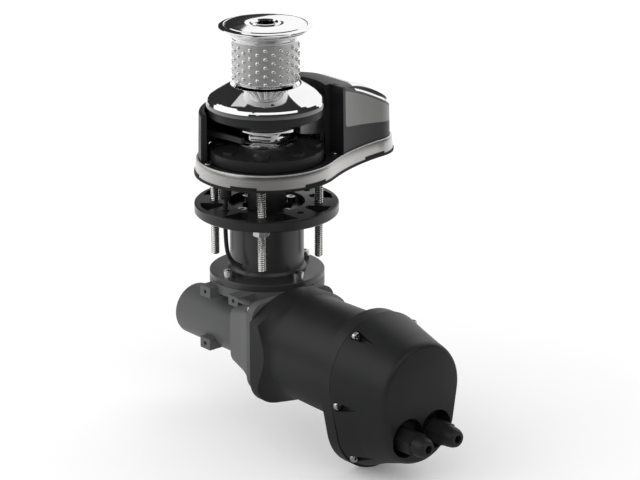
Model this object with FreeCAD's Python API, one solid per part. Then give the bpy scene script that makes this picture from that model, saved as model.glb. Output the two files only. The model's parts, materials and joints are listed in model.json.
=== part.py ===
import FreeCAD, Part
import math
import os

# Vertical anchor windlass for 8 mm chain with a rope drum, through-deck gearbox and motor.
# Millimetres, +Z up.  The origin is the main shaft's axis at the top of the deck.
# +X runs along the pear-shaped base towards the chain pipe, the motor lies along -Y.

os.makedirs("parts", exist_ok=True)

V = FreeCAD.Vector
UP = V(0, 0, 1)
OPEN = 1.0              # how far a cutting tool runs past a face
FIT = 0.05              # radial running fit of shafts and pins
GAP = 0.35              # clearance between faces that must not touch

# Base outline: a big circle round the shaft, a tail circle and two hollow waist arcs
BASE_R = 81.5
TAIL_X = 139.0
TAIL_R = 40.0
WAIST_R = 275.0
GASKET_H = 2.8
BASE_TOP = 19.0
BASE_FLOOR = 7.0
TRAY_FLOOR = 12.0
TRAY_TOP = 17.5
TRAY_INSET = 4.6
PIPE_X = 103.0
PIPE_R = 24.0

# Deck studs and the flange under the deck
STUD_PCD = 118.0
STUD_R = 5.0
STUD_TOP = 6.0
THREAD_DEPTH = 0.3      # the threaded ends are this much smaller than the shank between them
SHANK = (-31.0, 2.3)
STUD_BOTTOM = -98.5
STUD_ANGLES = (45, 135, 225, 315)
FLANGE_R = 81.8
FLANGE_TOP = -33.9
FLANGE_BOTTOM = -45.7
RECESS_R = 43.5
WEB_TOP = -41.7

# Main shaft and its housing
SHAFT_R = 12.5
JOURNAL_R = 10.0
THREAD_R = 10.0
HUB_R = 21.5
HUB_TOP = 14.0
TUBE_R = 42.1
TUBE_BORE = 36.0
FOOT_R = 65.5
FOOT_TOP = -113.3
FOOT_BOTTOM = -120.3
RIM_BOTTOM = -132.3
SHAFT_BOTTOM = -197.0
SHAFT_SHOULDER = 108.0
SHAFT_TOP = 146.0

# Gearbox and motor, both on the worm's axis
WORM_X = -40.0
WORM_Z = -176.0
WHEEL_TEETH = 40
WHEEL_PITCH_R = 30.0
WHEEL_TIP_R = 31.3
WHEEL_W = 9.0
WORM_PITCH_R = 10.0
WORM_TIP_R = 11.3
TOOTH_H = 2.9
CHAMBER_R = 42.0
CHAMBER_BOTTOM = -206.0
WORM_BOSS_R = 30.0
WORM_BOSS_END = 84.0
ADAPTOR_AT = 84.0
COVER_AT = 94.0
SKIRT_END = 104.0
FLARE_END = 140.0
JOINT_AT = 219.0
CAP_AT = 235.0
CAP_END = 306.0
COVER_R = 60.5
COVER_Y = 11.5
CAN_R = 46.0
MOTOR_SHAFT_R = 7.0
DRAIN_Y = -22.0
SKIRT_HALF = 62.3
ADAPTOR_SCREWS = ((-52.0, -24.0), (52.0, -24.0), (52.0, 55.4), (-52.0, 55.4))

# Chain wheel, dome and drum
GYPSY_R = 65.1
GYPSY_BOTTOM = 17.8
GYPSY_RIM = 30.0
PAD_TOP = 34.6
SPROCKET_BOTTOM = 37.2
SPROCKET_TOP = 55.3
SPROCKET_R = 36.0
UPPER_EDGE = 68.7
UPPER_TOP = 78.4
DOME_R = 67.3
DOME_TOP = 102.7
BORE_R = 13.0
DRUM_R = 38.3
DRUM_BOTTOM = 103.6
DRUM_FLARE = 155.0
CAP_R = 52.9
CAP_RIM_Z = 169.4
NUT_R = 17.6
NUT_BOTTOM = 130.0
NUT_TOP = 173.5
SOCKET_WIDTH = 17.5
SOCKET_DEPTH = 16.0

# Hawse cover: a wall round the chain wheel that runs out into a tail
COVER_BIG_R = 76.5
COVER_TAIL_R = 35.2
COVER_INNER_R = 69.2
COVER_FROM = -24.0
COVER_TO = 158.0
COVER_WALL = 4.0
CAP_PANEL_X = 75.0
COVER_LEAN = 1.6
COVER_ROUND = 3.0
CROWN_POINTS = (
    (-90.0, 72.0), (-50.0, 73.2), (-20.0, 75.5), (10.0, 82.5), (40.0, 90.6), (70.0, 95.6),
    (100.0, 92.0), (130.0, 82.2), (155.0, 68.4), (172.0, 56.8), (185.0, 46.8),
)
PANEL_EDGE_POINTS = (
    (50.0, 97.5), (70.0, 93.6), (91.0, 87.0), (112.5, 78.9), (132.0, 70.2), (151.0, 60.8),
    (170.0, 50.4), (200.0, 33.0),
)
PANEL_X = 75.5
PANEL_FRONT_Z = 48.5
PANEL_FALL = 0.14
PANEL_SEAM = 1.4
COLUMN_X = 70.5
MOUTH_HALF = 23.0
MOUTH_TOP = 74.0
COVER_SCREW = (76.5, -33.0)
BASE_SCREWS = ((65.0, -42.0), (-69.9, 17.4))
STRIPPER_Y = -14.0
STRIPPER_W = 8.0
ARM_PIVOT_R = 70.0
ARM_PIVOT_ANGLE = 140.0
ARM_TIP_R = 43.0
ARM_TIP_ANGLE = 192.0
ARM_Z = 43.5
ARM_H = 6.0
PIN_R = 2.0

# Keys and circlips on the main shaft
KEY_SPANS = ((-178.0, -166.0), (20.0, 33.0), (62.0, 79.0), (86.0, 106.0))
CLIP_PLACES = (16.1, -77.0)
CLIP_H = 1.5

# Motor and end cap details
CAN_FROM = 98.0
CAN_TO = 222.0
MOTOR_BEARING_R = 16.0
COMMUTATOR_R = 17.0
CAP_LEDGE = 5.5
GASKET_T = 1.5
SCREW_R = 2.4
SCREW_DEPTH = 9.0
SCREW_POCKET_R = 6.3
SCOOP_LENGTH = 28.0
SCOOP_SINK = 3.4        # how far a recess's point lies inward of its screw
SCOOP_SINK_LOW = 7.6
SCOOP_REACH = 24.0
SCOOP_WALL = 4.0
FLANK_Y = -30.0
CAP_SCREW_PLACES = (
    (-37.4, 66.1), (43.2, 61.5), (-62.5, -5.4), (62.5, -5.4), (-39.3, -71.8), (39.3, -71.8),
)
GLAND_X = 21.0
GLAND_Y = -36.0
GLAND_BORE_R = 4.5
GLAND_LEDGE = 22.0
LOBES = ((-20.0, -34.0), (20.0, -34.0))
LOBE_R = 21.5
WALL = 3.5
LINING = 4.0

# Egg-shaped sections of the collar and end cap: upper radius, lower radius, lower centre
EGG_TOP_Y = 13.0
COLLAR_WALL = 8.0
COLLAR = (68.5, 58.6, -35.5)
CAP_LEVELS = (
    (236.5, (69.5, 58.4, -33.4)), (263.0, (62.6, 53.2, -27.0)), (290.0, (56.0, 50.0, -21.5)),
    (298.0, (54.4, 49.0, -20.5)), (301.0, (53.6, 48.2, -20.1)), (303.5, (52.4, 47.2, -19.8)),
    (305.2, (50.8, 45.8, -19.6)), (306.0, (49.0, 44.2, -19.5)),
)
CAP_HOLLOW = (
    (235.0, (69.5, 58.4, -33.4), 3.5), (263.0, (62.6, 53.2, -27.0), 3.5),
    (290.0, (56.0, 50.0, -21.5), 5.5), (301.0, (53.6, 48.2, -20.1), 13.0),
)
FACET_TURN = 22.5


def cylinder(radius, z0, z1, x=0.0, y=0.0):
    return Part.makeCylinder(radius, z1 - z0, V(x, y, z0))


def ring(outer, inner, z0, z1, x=0.0, y=0.0):
    return cylinder(outer, z0, z1, x, y).cut(cylinder(inner, z0 - OPEN, z1 + OPEN, x, y))


def block(x0, x1, y0, y1, z0, z1):
    return Part.makeBox(x1 - x0, y1 - y0, z1 - z0, V(x0, y0, z0))


def revolved(points):
    wire = Part.makePolygon([V(r, 0, z) for r, z in points + points[:1]])
    return Part.Face(wire).revolve(V(), UP, 360)


def prism(points, z0, z1):
    wire = Part.makePolygon([V(x, y, z0) for x, y in points + points[:1]])
    return Part.Face(wire).extrude(V(0, 0, z1 - z0))


def regular(sides, across_flats, z0, z1, x=0.0, y=0.0, turn=0.0):
    radius = across_flats / 2 / math.cos(math.pi / sides)
    points = []
    for index in range(sides):
        angle = math.radians(turn) + 2 * math.pi * index / sides
        points.append((x + radius * math.cos(angle), y + radius * math.sin(angle)))
    return prism(points, z0, z1)


def on_circle(radius, degrees):
    angle = math.radians(degrees)
    return radius * math.cos(angle), radius * math.sin(angle)


def turned(shape, degrees):
    copy = shape.copy()
    copy.rotate(V(), UP, degrees)
    return copy


def fused(shapes):
    return shapes[0].multiFuse(shapes[1:]).removeSplitter()


def along_motor(shape):
    """Lay a shape built about Z along the worm's axis: its z becomes reach towards -Y."""
    copy = shape.copy()
    copy.rotate(V(), V(1, 0, 0), 90)
    copy.translate(V(WORM_X, 0, WORM_Z))
    return copy


def outline(big, tail, waist, z):
    """Wire of two circles joined by hollow arcs, at height z."""
    a = big + waist
    b = tail + waist
    cx = (a * a - b * b + TAIL_X * TAIL_X) / (2 * TAIL_X)
    cy = math.sqrt(a * a - cx * cx)
    near = V(cx * big / a, cy * big / a, z)
    far = V(TAIL_X + (cx - TAIL_X) * tail / b, cy * tail / b, z)
    lean = math.atan2(cy - (near.y + far.y) / 2, cx - (near.x + far.x) / 2)
    middle = V(cx - waist * math.cos(lean), cy - waist * math.sin(lean), z)

    def mirrored(p):
        return V(p.x, -p.y, p.z)

    arcs = [
        Part.Arc(near, V(-big, 0, z), mirrored(near)),
        Part.Arc(mirrored(near), mirrored(middle), mirrored(far)),
        Part.Arc(mirrored(far), V(TAIL_X + tail, 0, z), far),
        Part.Arc(far, middle, near),
    ]
    return Part.Wire([arc.toShape() for arc in arcs])


def base_wire(inset, z):
    return outline(BASE_R - inset, TAIL_R - inset, WAIST_R + inset, z)


def pear(inset, z0, z1):
    return Part.Face(base_wire(inset, z0)).extrude(V(0, 0, z1 - z0))


def export(node, shape):
    solids = shape.Solids
    if len(solids) == 0 or not shape.isValid():
        raise ValueError(node + " is not a valid solid")
    Part.makeCompound(solids).exportStep("parts/" + node + ".step")
    print(node, len(solids), round(sum(s.Volume for s in solids)))


# ---------------------------------------------------------------- base and deck fastening

def stud_places():
    return [on_circle(STUD_PCD / 2, angle) for angle in STUD_ANGLES]


def sensor_place():
    return -STUD_PCD / 2, 0.0


def base_gasket():
    """Deck gasket with upstanding blocks that fill the notches in the casting's lower edge."""
    blocks = notch_ring(0.5, GASKET_H, GASKET_H + NOTCH_H).common(notch_zone(0, BASE_TOP))
    plate = pear(0.0, 0.0, GASKET_H).fuse(blocks.Solids).removeSplitter()
    tools = [cylinder(HUB_R + 1.5, -OPEN, GASKET_H + OPEN)]
    tools.append(cylinder(PIPE_R + 1.0, -OPEN, GASKET_H + OPEN, PIPE_X))
    for x, y in stud_places():
        tools.append(cylinder(7.0, -OPEN, GASKET_H + OPEN, x, y))
    sx, sy = sensor_place()
    tools.append(cylinder(7.5, -OPEN, GASKET_H + OPEN, sx, sy))
    return plate.cut(Part.makeCompound(tools))


NOTCH_H = 2.6
NOTCH_ANGLES = (-148, -86, 150, 88)
NOTCH_HALF = 11.0
TAIL_NOTCH_FROM = 110.0
TAIL_NOTCH_TO = 143.0


def notch_wedge(angle, z0, z1):
    far = BASE_R * 1.5
    points = [(0, 0), on_circle(far, angle - NOTCH_HALF), on_circle(far, angle + NOTCH_HALF)]
    return prism(points, z0, z1)


def notch_zone(z0, z1):
    zones = [notch_wedge(angle, z0, z1) for angle in NOTCH_ANGLES]
    zones.append(block(TAIL_NOTCH_FROM, TAIL_NOTCH_TO, -BASE_R, BASE_R, z0, z1))
    return Part.makeCompound(zones)


def notch_ring(inset, z0, z1):
    return pear(inset, z0, z1).cut(pear(TRAY_INSET, z0 - OPEN, z1 + OPEN))


def base_casting():
    levels = [(0.9, GASKET_H), (2.1, 17.0), (2.7, 18.4), (3.6, BASE_TOP)]
    body = Part.makeLoft([base_wire(inset, z) for inset, z in levels], True, True)
    body = body.cut(pear(TRAY_INSET, BASE_FLOOR, BASE_TOP + OPEN))
    tools = [cylinder(HUB_R + 0.5, 0, BASE_FLOOR + OPEN)]
    tools.append(cylinder(PIPE_R, 0, BASE_FLOOR + OPEN, PIPE_X))
    for x, y in stud_places():
        tools.append(cylinder(STUD_THREAD_R, 0, STUD_TOP, x, y))
    sx, sy = sensor_place()
    tools.append(cylinder(7.0, 0, BASE_FLOOR + OPEN, sx, sy))
    ledge = notch_ring(-OPEN, GASKET_H, GASKET_H + NOTCH_H)
    tools += ledge.common(notch_zone(0, BASE_TOP)).Solids
    return body.cut(Part.makeCompound(tools))


def base_tray():
    body = pear(TRAY_INSET, BASE_FLOOR, TRAY_TOP)
    tools = [cylinder(GYPSY_R + 1.9, TRAY_FLOOR, BASE_TOP)]
    tools.append(cylinder(HUB_R + 0.5, 0, BASE_TOP))
    tools.append(cylinder(PIPE_R, 0, BASE_TOP, PIPE_X))
    sx, sy = sensor_place()
    tools.append(cylinder(7.0, 0, 9.0, sx, sy))
    return body.cut(Part.makeCompound(tools))


def deck_studs():
    studs = []
    for x, y in stud_places():
        rod = cylinder(STUD_THREAD_R, STUD_BOTTOM + 1.0, STUD_TOP, x, y)
        tip = Part.makeCone(STUD_THREAD_R - 1.0, STUD_THREAD_R, 1.0, V(x, y, STUD_BOTTOM))
        shank = cylinder(STUD_R, SHANK[0], SHANK[1], x, y)
        studs.append(rod.fuse([tip, shank]).removeSplitter())
    return Part.makeCompound(studs)


STUD_THREAD_R = STUD_R - THREAD_DEPTH
WASHER_H = 2.0
NUT_H = 8.4


def stud_washers():
    return Part.makeCompound([
        ring(10.0, STUD_R, FLANGE_BOTTOM - WASHER_H, FLANGE_BOTTOM, x, y) for x, y in stud_places()
    ])


def hex_nut(across_flats, bore, z0, z1, x, y, turn):
    body = regular(6, across_flats, z0, z1, x, y, turn)
    corner = across_flats / 2 / math.cos(math.pi / 6)
    flat = across_flats / 2
    chamfer = (corner - flat) * 0.6
    profile = [(0, z0), (flat, z0), (corner + 0.1, z0 + chamfer)]
    profile += [(corner + 0.1, z1 - chamfer), (flat, z1), (0, z1)]
    envelope = revolved(profile)
    envelope.translate(V(x, y, 0))
    return body.common(envelope).cut(cylinder(bore, z0 - OPEN, z1 + OPEN, x, y))


def stud_nuts():
    top = FLANGE_BOTTOM - WASHER_H
    nuts = []
    for index, (x, y) in enumerate(stud_places()):
        nuts.append(hex_nut(17.0, STUD_THREAD_R, top - NUT_H, top, x, y, 17.0 * index))
    return Part.makeCompound(nuts)


def flange_pocket():
    """Tapered weight pocket between two ribs of the deck flange."""
    inner = 51.0
    outer = 75.5
    points = [on_circle(inner, -5.0), on_circle(outer, -11.0), on_circle(outer + 1.2, 0.0)]
    points += [on_circle(outer, 11.0), on_circle(inner, 5.0)]
    return prism(points, FLANGE_BOTTOM + 3.0, FLANGE_TOP + OPEN)


def deck_flange():
    plate = cylinder(FLANGE_R, FLANGE_BOTTOM, FLANGE_TOP)
    plate = plate.makeChamfer(1.2, [e for e in plate.Edges if e.Length > FLANGE_R])
    tools = [cylinder(RECESS_R, WEB_TOP, FLANGE_TOP + OPEN)]
    tools.append(regular(8, 56.0, FLANGE_BOTTOM - OPEN, WEB_TOP + OPEN, turn=22.5))
    tools += [turned(flange_pocket(), 22.5 + 45 * index) for index in range(8)]
    for x, y in stud_places():
        tools.append(cylinder(STUD_R + 0.5, FLANGE_BOTTOM - OPEN, FLANGE_TOP + OPEN, x, y))
    for index in range(4):
        x, y = on_circle(STUD_PCD / 2, 90 * index)
        tools.append(cylinder(4.2, FLANGE_BOTTOM - OPEN, FLANGE_TOP + OPEN, x, y))
        x, y = on_circle(FLANGE_SCREW_R, 90 * index)
        tools.append(cylinder(3.2, FLANGE_BOTTOM - OPEN, WEB_TOP + OPEN, x, y))
    return plate.cut(Part.makeCompound(tools))


FLANGE_SCREW_R = 35.5


def flange_screws():
    screws = []
    for index in range(4):
        x, y = on_circle(FLANGE_SCREW_R, 90 * index)
        head = cylinder(5.0, WEB_TOP, WEB_TOP + 5.5, x, y)
        head = head.cut(regular(6, 5.0, WEB_TOP + 2.5, WEB_TOP + 5.5 + OPEN, x, y))
        screws.append(head.fuse(cylinder(3.0, FLANGE_BOTTOM - 12.0, WEB_TOP, x, y)))
    return Part.makeCompound(screws)


def chain_sensor():
    x, y = sensor_place()
    body = cylinder(6.5, -16.0, 8.5, x, y)
    nose = Part.makeCone(4.4, 6.5, 4.0, V(x, y, -20.0))
    return body.fuse(nose).removeSplitter().cut(cylinder(CABLE_R, -21.0, -14.0, x, y))


# Route of the chain counter's cable, from inside the sensor to its bare end by the tube
CABLE_R = 2.5
CABLE_ROUTE = [
    (-59.0, 0.0, -14.0),
    (-59.0, 0.0, -25.5),
    (-59.3, 0.3, -38.0),
    (-59.5, 0.5, -51.0),
    (-59.3, 0.3, -64.0),
    (-58.7, -0.3, -76.5),
    (-57.7, -1.4, -85.4),
    (-55.1, -3.9, -92.5),
    (-51.4, -7.8, -97.0),
    (-46.7, -12.6, -99.2),
]


def cable_arc(before, corner, after):
    """Tangent arc at a corner of the route, as large as its two runs allow."""
    back = (before - corner).normalize()
    on = (after - corner).normalize()
    turn = math.pi - back.getAngle(on)
    reach = 0.45 * min(before.distanceToPoint(corner), after.distanceToPoint(corner))
    radius = reach / math.tan(turn / 2)
    inward = (back + on).normalize()
    middle = corner + inward * (radius / math.cos(turn / 2) - radius)
    return corner + back * reach, middle, corner + on * reach, radius


def sensor_cable():
    points = [V(*p) for p in CABLE_ROUTE]
    edges = []
    start = points[0]
    for index in range(1, len(points) - 1):
        enter, middle, leave, radius = cable_arc(points[index - 1], points[index], points[index + 1])
        print("cable arc radius", round(radius, 1))
        edges.append(Part.makeLine(start, enter))
        edges.append(Part.Arc(enter, middle, leave).toShape())
        start = leave
    edges.append(Part.makeLine(start, points[-1]))
    route = Part.Wire(edges)
    profile = Part.Wire([Part.makeCircle(CABLE_R, points[0], points[1] - points[0])])
    tube = route.makePipeShell([profile], True, True)
    print("cable length", round(route.Length, 1), "volume ratio",
          round(tube.Volume / (math.pi * CABLE_R ** 2 * route.Length), 4))
    return tube


# ---------------------------------------------------------------- shaft housing and gearbox

LOWER_BEARING = (-196.0, -184.0)
UPPER_BEARING = (-75.0, -61.0)
BEARING_R = 22.5
FOOT_SCREW_R = 55.0


def shaft_housing():
    plate_bottom = UPPER_BEARING[0] - 2.0
    profile = [
        (15.0, HUB_TOP), (HUB_R - 1.5, HUB_TOP), (HUB_R, HUB_TOP - 1.5), (HUB_R, FLANGE_BOTTOM),
        (TUBE_R, FLANGE_BOTTOM), (TUBE_R, FOOT_TOP + 6.0), (TUBE_R + 2.5, FOOT_TOP + 3.0),
        (TUBE_R + 2.5, FOOT_TOP), (FOOT_R - 1.0, FOOT_TOP), (FOOT_R, FOOT_TOP - 1.0),
        (FOOT_R, FOOT_BOTTOM), (TUBE_BORE, FOOT_BOTTOM), (TUBE_BORE, plate_bottom - 10.0),
        (30.0, plate_bottom), (BEARING_R, plate_bottom), (BEARING_R, UPPER_BEARING[1]),
        (15.0, UPPER_BEARING[1]),
    ]
    body = revolved(profile)
    tools = []
    for index in range(4):
        x, y = on_circle(FLANGE_SCREW_R, 90 * index)
        tools.append(cylinder(3.0, FLANGE_BOTTOM - 12.0, FLANGE_BOTTOM + OPEN, x, y))
        x, y = on_circle(FOOT_SCREW_R, 90 * index)
        tools.append(cylinder(4.3, FOOT_BOTTOM - OPEN, FOOT_TOP + OPEN, x, y))
    return body.cut(Part.makeCompound(tools))


def bush(z0, z1):
    return ring(15.0, SHAFT_R + FIT, z0, z1)


def shaft_seal():
    return ring(15.0, SHAFT_R + FIT, 8.0, HUB_TOP)


def bearing(outer, bore, z0, z1):
    """Shielded ball bearing as one ring with its shield grooves on both faces."""
    body = ring(outer, bore, z0, z1)
    middle = (outer + bore) / 2
    groove = (outer - bore) * 0.22
    for bottom, top in ((z0 - OPEN, z0 + 0.8), (z1 - 0.8, z1 + OPEN)):
        body = body.cut(ring(middle + groove, middle - groove, bottom, top))
    return body


def cap_screw(head_r, head_h, rod_r, length, key, seat, x, y):
    head = cylinder(head_r, seat, seat + head_h, x, y)
    rim = [edge for edge in head.Edges if edge.BoundBox.ZMin > seat + head_h / 2 and edge.Closed]
    head = head.makeChamfer(0.5, rim)
    head = head.cut(regular(6, key, seat + head_h * 0.45, seat + head_h + OPEN, x, y, 12.0))
    return head.fuse(cylinder(rod_r, seat - length, seat, x, y))


def foot_screws():
    return Part.makeCompound([
        cap_screw(6.5, 8.0, 4.0, 22.0, 6.0, FOOT_TOP, *on_circle(FOOT_SCREW_R, 90 * index))
        for index in range(4)
    ])


def housing_gasket():
    sheet = ring(FOOT_R - 0.6, TUBE_BORE, FOOT_BOTTOM - 0.6, FOOT_BOTTOM)
    for index in range(4):
        x, y = on_circle(FOOT_SCREW_R, 90 * index)
        sheet = sheet.cut(cylinder(4.3, FOOT_BOTTOM - 2, FOOT_BOTTOM + OPEN, x, y))
    return sheet


WORM_BEARING_R = 17.5
WORM_BEARING_W = 12.0
REAR_BEARING_AT = -72.0
FRONT_BEARING_AT = 44.0


LUG_FACE_X = -76.0
LUG_HOLE_R = 2.4
LUG_SPANS = (
    (9.0, 27.0, -137.0, -124.6, -38.0), (-41.0, -24.0, -134.0, -122.5, -38.0),
    (10.6, 28.0, -200.0, -187.0, -55.0),
)


def rounded_wire(x, low, high, corner_low, corner_high, z):
    """Upright rectangle with rounded corners, centred on x = 0, at reach z."""
    turn = math.sin(math.pi / 4)
    corners = []
    for side, level, corner in ((1, low, corner_low), (1, high, corner_high),
                                (-1, high, corner_high), (-1, low, corner_low)):
        rise = 1 if level == high else -1
        centre = V(side * (x - corner), level - rise * corner, z)
        flank = centre + V(side * corner, 0, 0)
        middle = centre + V(side * corner * turn, rise * corner * turn, 0)
        end = centre + V(0, rise * corner, 0)
        corners.append((end, middle, flank) if side * rise < 0 else (flank, middle, end))
    edges = []
    for index, (start, middle, end) in enumerate(corners):
        edges.append(Part.Arc(start, middle, end).toShape())
        edges.append(Part.makeLine(end, corners[(index + 1) % 4][0]))
    return Part.Wire(edges)


def rounded_prism(x, low, high, corner_low, corner_high, z0, z1):
    wire = rounded_wire(x, low, high, corner_low, corner_high, z0)
    return Part.Face(wire).extrude(V(0, 0, z1 - z0))


def gearbox_lugs():
    """Three square lugs on the worm boss's outer side, and the holes through them along X."""
    lugs = []
    holes = []
    for y0, y1, z0, z1, inner_x in LUG_SPANS:
        lugs.append(block(LUG_FACE_X, inner_x, y0, y1, z0, z1))
        start = V(LUG_FACE_X - OPEN, (y0 + y1) / 2, (z0 + z1) / 2)
        holes.append(Part.makeCylinder(LUG_HOLE_R, 26.0, start, V(1, 0, 0)))
    return lugs, holes


def gearbox_case():
    top = FOOT_BOTTOM - 0.6
    solids = [cylinder(FOOT_R, RIM_BOTTOM, top)]
    solids.append(Part.makeCone(CHAMBER_R, FOOT_R - 6.0, 12.0, V(0, 0, RIM_BOTTOM - 12.0)))
    solids.append(cylinder(CHAMBER_R, CHAMBER_BOTTOM + 14.0, top))
    solids.append(cylinder(CHAMBER_R - 8.0, CHAMBER_BOTTOM, CHAMBER_BOTTOM + 20.0))
    boss = cylinder(WORM_BOSS_R, -WORM_BOSS_END, ADAPTOR_AT - 4.0)
    end_edges = [edge for edge in boss.Edges if edge.Closed and edge.BoundBox.ZMax < 0]
    solids.append(along_motor(boss.makeFillet(4.0, end_edges)))
    near = rounded_wire(44.0, -26.0, 43.0, 16.0, 10.0, 37.0)
    middle = rounded_wire(51.0, -30.0, 53.0, 18.0, 12.0, 64.0)
    far = rounded_wire(57.5, -42.0, 62.0, 24.0, 16.0, ADAPTOR_AT)
    solids.append(along_motor(Part.makeLoft([near, middle, far], True, True)))
    lugs, tools = gearbox_lugs()
    solids += lugs
    solids.append(block(LUG_FACE_X, LUG_FACE_X + 6.0, -80.0, -40.0, -127.0, -123.5))
    body = fused(solids)
    tools.append(cylinder(TUBE_BORE, LOWER_BEARING[1] + 2.0, top + OPEN))
    tools.append(cylinder(21.0, LOWER_BEARING[0] - 3.0, LOWER_BEARING[1] + 3.0))
    tools.append(along_motor(cylinder(14.0, REAR_BEARING_AT, 80.0)))
    tools.append(along_motor(cylinder(WORM_BEARING_R, REAR_BEARING_AT, REAR_BEARING_AT + WORM_BEARING_W)))
    tools.append(along_motor(cylinder(WORM_BEARING_R, FRONT_BEARING_AT, ADAPTOR_AT + OPEN)))
    tools.append(cylinder(5.0, CHAMBER_BOTTOM - OPEN, CHAMBER_BOTTOM + 5.0, 0.0, DRAIN_Y))
    for x, y in ADAPTOR_SCREWS:
        tools.append(along_motor(cylinder(4.6, FRONT_BEARING_AT, ADAPTOR_AT + OPEN, x, y)))
    for index in range(4):
        x, y = on_circle(FOOT_SCREW_R, 90 * index)
        tools.append(cylinder(4.0, FOOT_TOP - 22.0, top + OPEN, x, y))
    return body.cut(Part.makeCompound(tools))


def drain_plug():
    plug = cylinder(5.0, CHAMBER_BOTTOM, CHAMBER_BOTTOM + 5.0, 0.0, DRAIN_Y)
    head = regular(6, 13.0, CHAMBER_BOTTOM - 5.0, CHAMBER_BOTTOM, 0.0, DRAIN_Y)
    return plug.fuse(head)


# ---------------------------------------------------------------- worm drive and motor

def tooth_pitch():
    return 2 * math.pi * WHEEL_PITCH_R / WHEEL_TEETH


def worm_shaft():
    """Single-start right-hand worm with its bearing journals."""
    front = FRONT_BEARING_AT
    core = WORM_TIP_R - TOOTH_H
    profile = [(0, REAR_BEARING_AT + 1.0), (7.5, REAR_BEARING_AT + 1.0)]
    profile += [(7.5, REAR_BEARING_AT + WORM_BEARING_W), (WORM_TIP_R, REAR_BEARING_AT + WORM_BEARING_W)]
    profile += [(WORM_TIP_R, -32.0), (core, -30.0), (core, 30.0), (WORM_TIP_R, 32.0), (WORM_TIP_R, front)]
    profile += [(7.5, front), (7.5, front + WORM_BEARING_W + 12.0), (0, front + WORM_BEARING_W + 12.0)]
    pitch = tooth_pitch()
    turns = 10
    low = -turns / 2 * pitch
    helix = Part.makeHelix(pitch, turns * pitch, WORM_PITCH_R)
    helix.translate(V(0, 0, low))
    inner = core - 0.6
    points = [(inner, -1.5), (WORM_TIP_R, -0.6), (WORM_TIP_R, 0.6), (inner, 1.5)]
    section = Part.makePolygon([V(r, 0, low + z) for r, z in points + points[:1]])
    thread = Part.Wire(helix).makePipeShell([section], True, True)
    return along_motor(revolved(profile).fuse(thread))


def worm_wheel():
    """Bronze wheel whose slanted teeth run in the worm's thread with backlash."""
    root = WHEEL_TIP_R - TOOTH_H
    half = WHEEL_W / 2
    slant = math.degrees(tooth_pitch() / (2 * math.pi * WORM_PITCH_R * WHEEL_PITCH_R) * half)
    step = 360.0 / WHEEL_TEETH
    wires = []
    for z, lean in ((WORM_Z - half, -slant), (WORM_Z + half, slant)):
        points = []
        for index in range(WHEEL_TEETH):
            centre = (index + 0.5) * step + lean
            for radius, offset in ((root, -2.6), (WHEEL_TIP_R, -1.1), (WHEEL_TIP_R, 1.1), (root, 2.6)):
                x, y = on_circle(radius, centre + offset)
                points.append(V(x, y, z))
        wires.append(Part.makePolygon(points + points[:1]))
    rim = Part.makeLoft(wires, True, True)
    hub = cylinder(21.0, WORM_Z - half - 3.0, WORM_Z + half + 4.0)
    body = rim.fuse(hub)
    keyway = block(0, SHAFT_R + 3.3, -3.05, 3.05, WORM_Z - 20.0, WORM_Z + 20.0)
    return body.cut(cylinder(SHAFT_R, WORM_Z - 20.0, WORM_Z + 20.0)).cut(keyway)


def shaft_coupling():
    z0 = FRONT_BEARING_AT + WORM_BEARING_W + 5.0
    body = ring(13.0, 7.5, z0, z0 + 7.0)
    body = body.fuse(cylinder(13.0, z0 + 7.0, z0 + 11.0))
    body = body.fuse(ring(13.0, MOTOR_SHAFT_R, z0 + 11.0, z0 + 24.0))
    return along_motor(body.removeSplitter())


def worm_seal():
    z0 = FRONT_BEARING_AT + WORM_BEARING_W
    return along_motor(ring(WORM_BEARING_R, 7.5 + FIT, z0, z0 + 4.0))


def worm_bearings():
    return Part.makeCompound([
        along_motor(bearing(WORM_BEARING_R, 7.5 + FIT, at, at + WORM_BEARING_W))
        for at in (REAR_BEARING_AT, FRONT_BEARING_AT)
    ])


def motor_adaptor():
    plate = rounded_prism(59.0, -44.0, 64.0, 25.0, 16.0, ADAPTOR_AT, COVER_AT)
    return along_motor(plate.cut(cylinder(WORM_BEARING_R, ADAPTOR_AT - OPEN, COVER_AT + OPEN)))


def cap_button(radius, face, x, y):
    """Button head that stands off the near side of a plate at reach face."""
    head = Part.makeCone(radius * 0.6, radius, 1.2, V(x, y, face - 3.0))
    return head.fuse(cylinder(radius, face - 1.8, face, x, y)).removeSplitter()


def adaptor_screws():
    return Part.makeCompound([
        along_motor(cap_button(4.0, ADAPTOR_AT, x, y)) for x, y in ADAPTOR_SCREWS
    ])


def skirt(z0, z1):
    """Upright sides with rounded corners under a shallow arched top."""
    plate = rounded_prism(SKIRT_HALF, -51.0, 76.0, 28.0, 24.0, z0, z1)
    return plate.common(cylinder(90.0, z0 - OPEN, z1 + OPEN, 0.0, -19.0))


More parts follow.
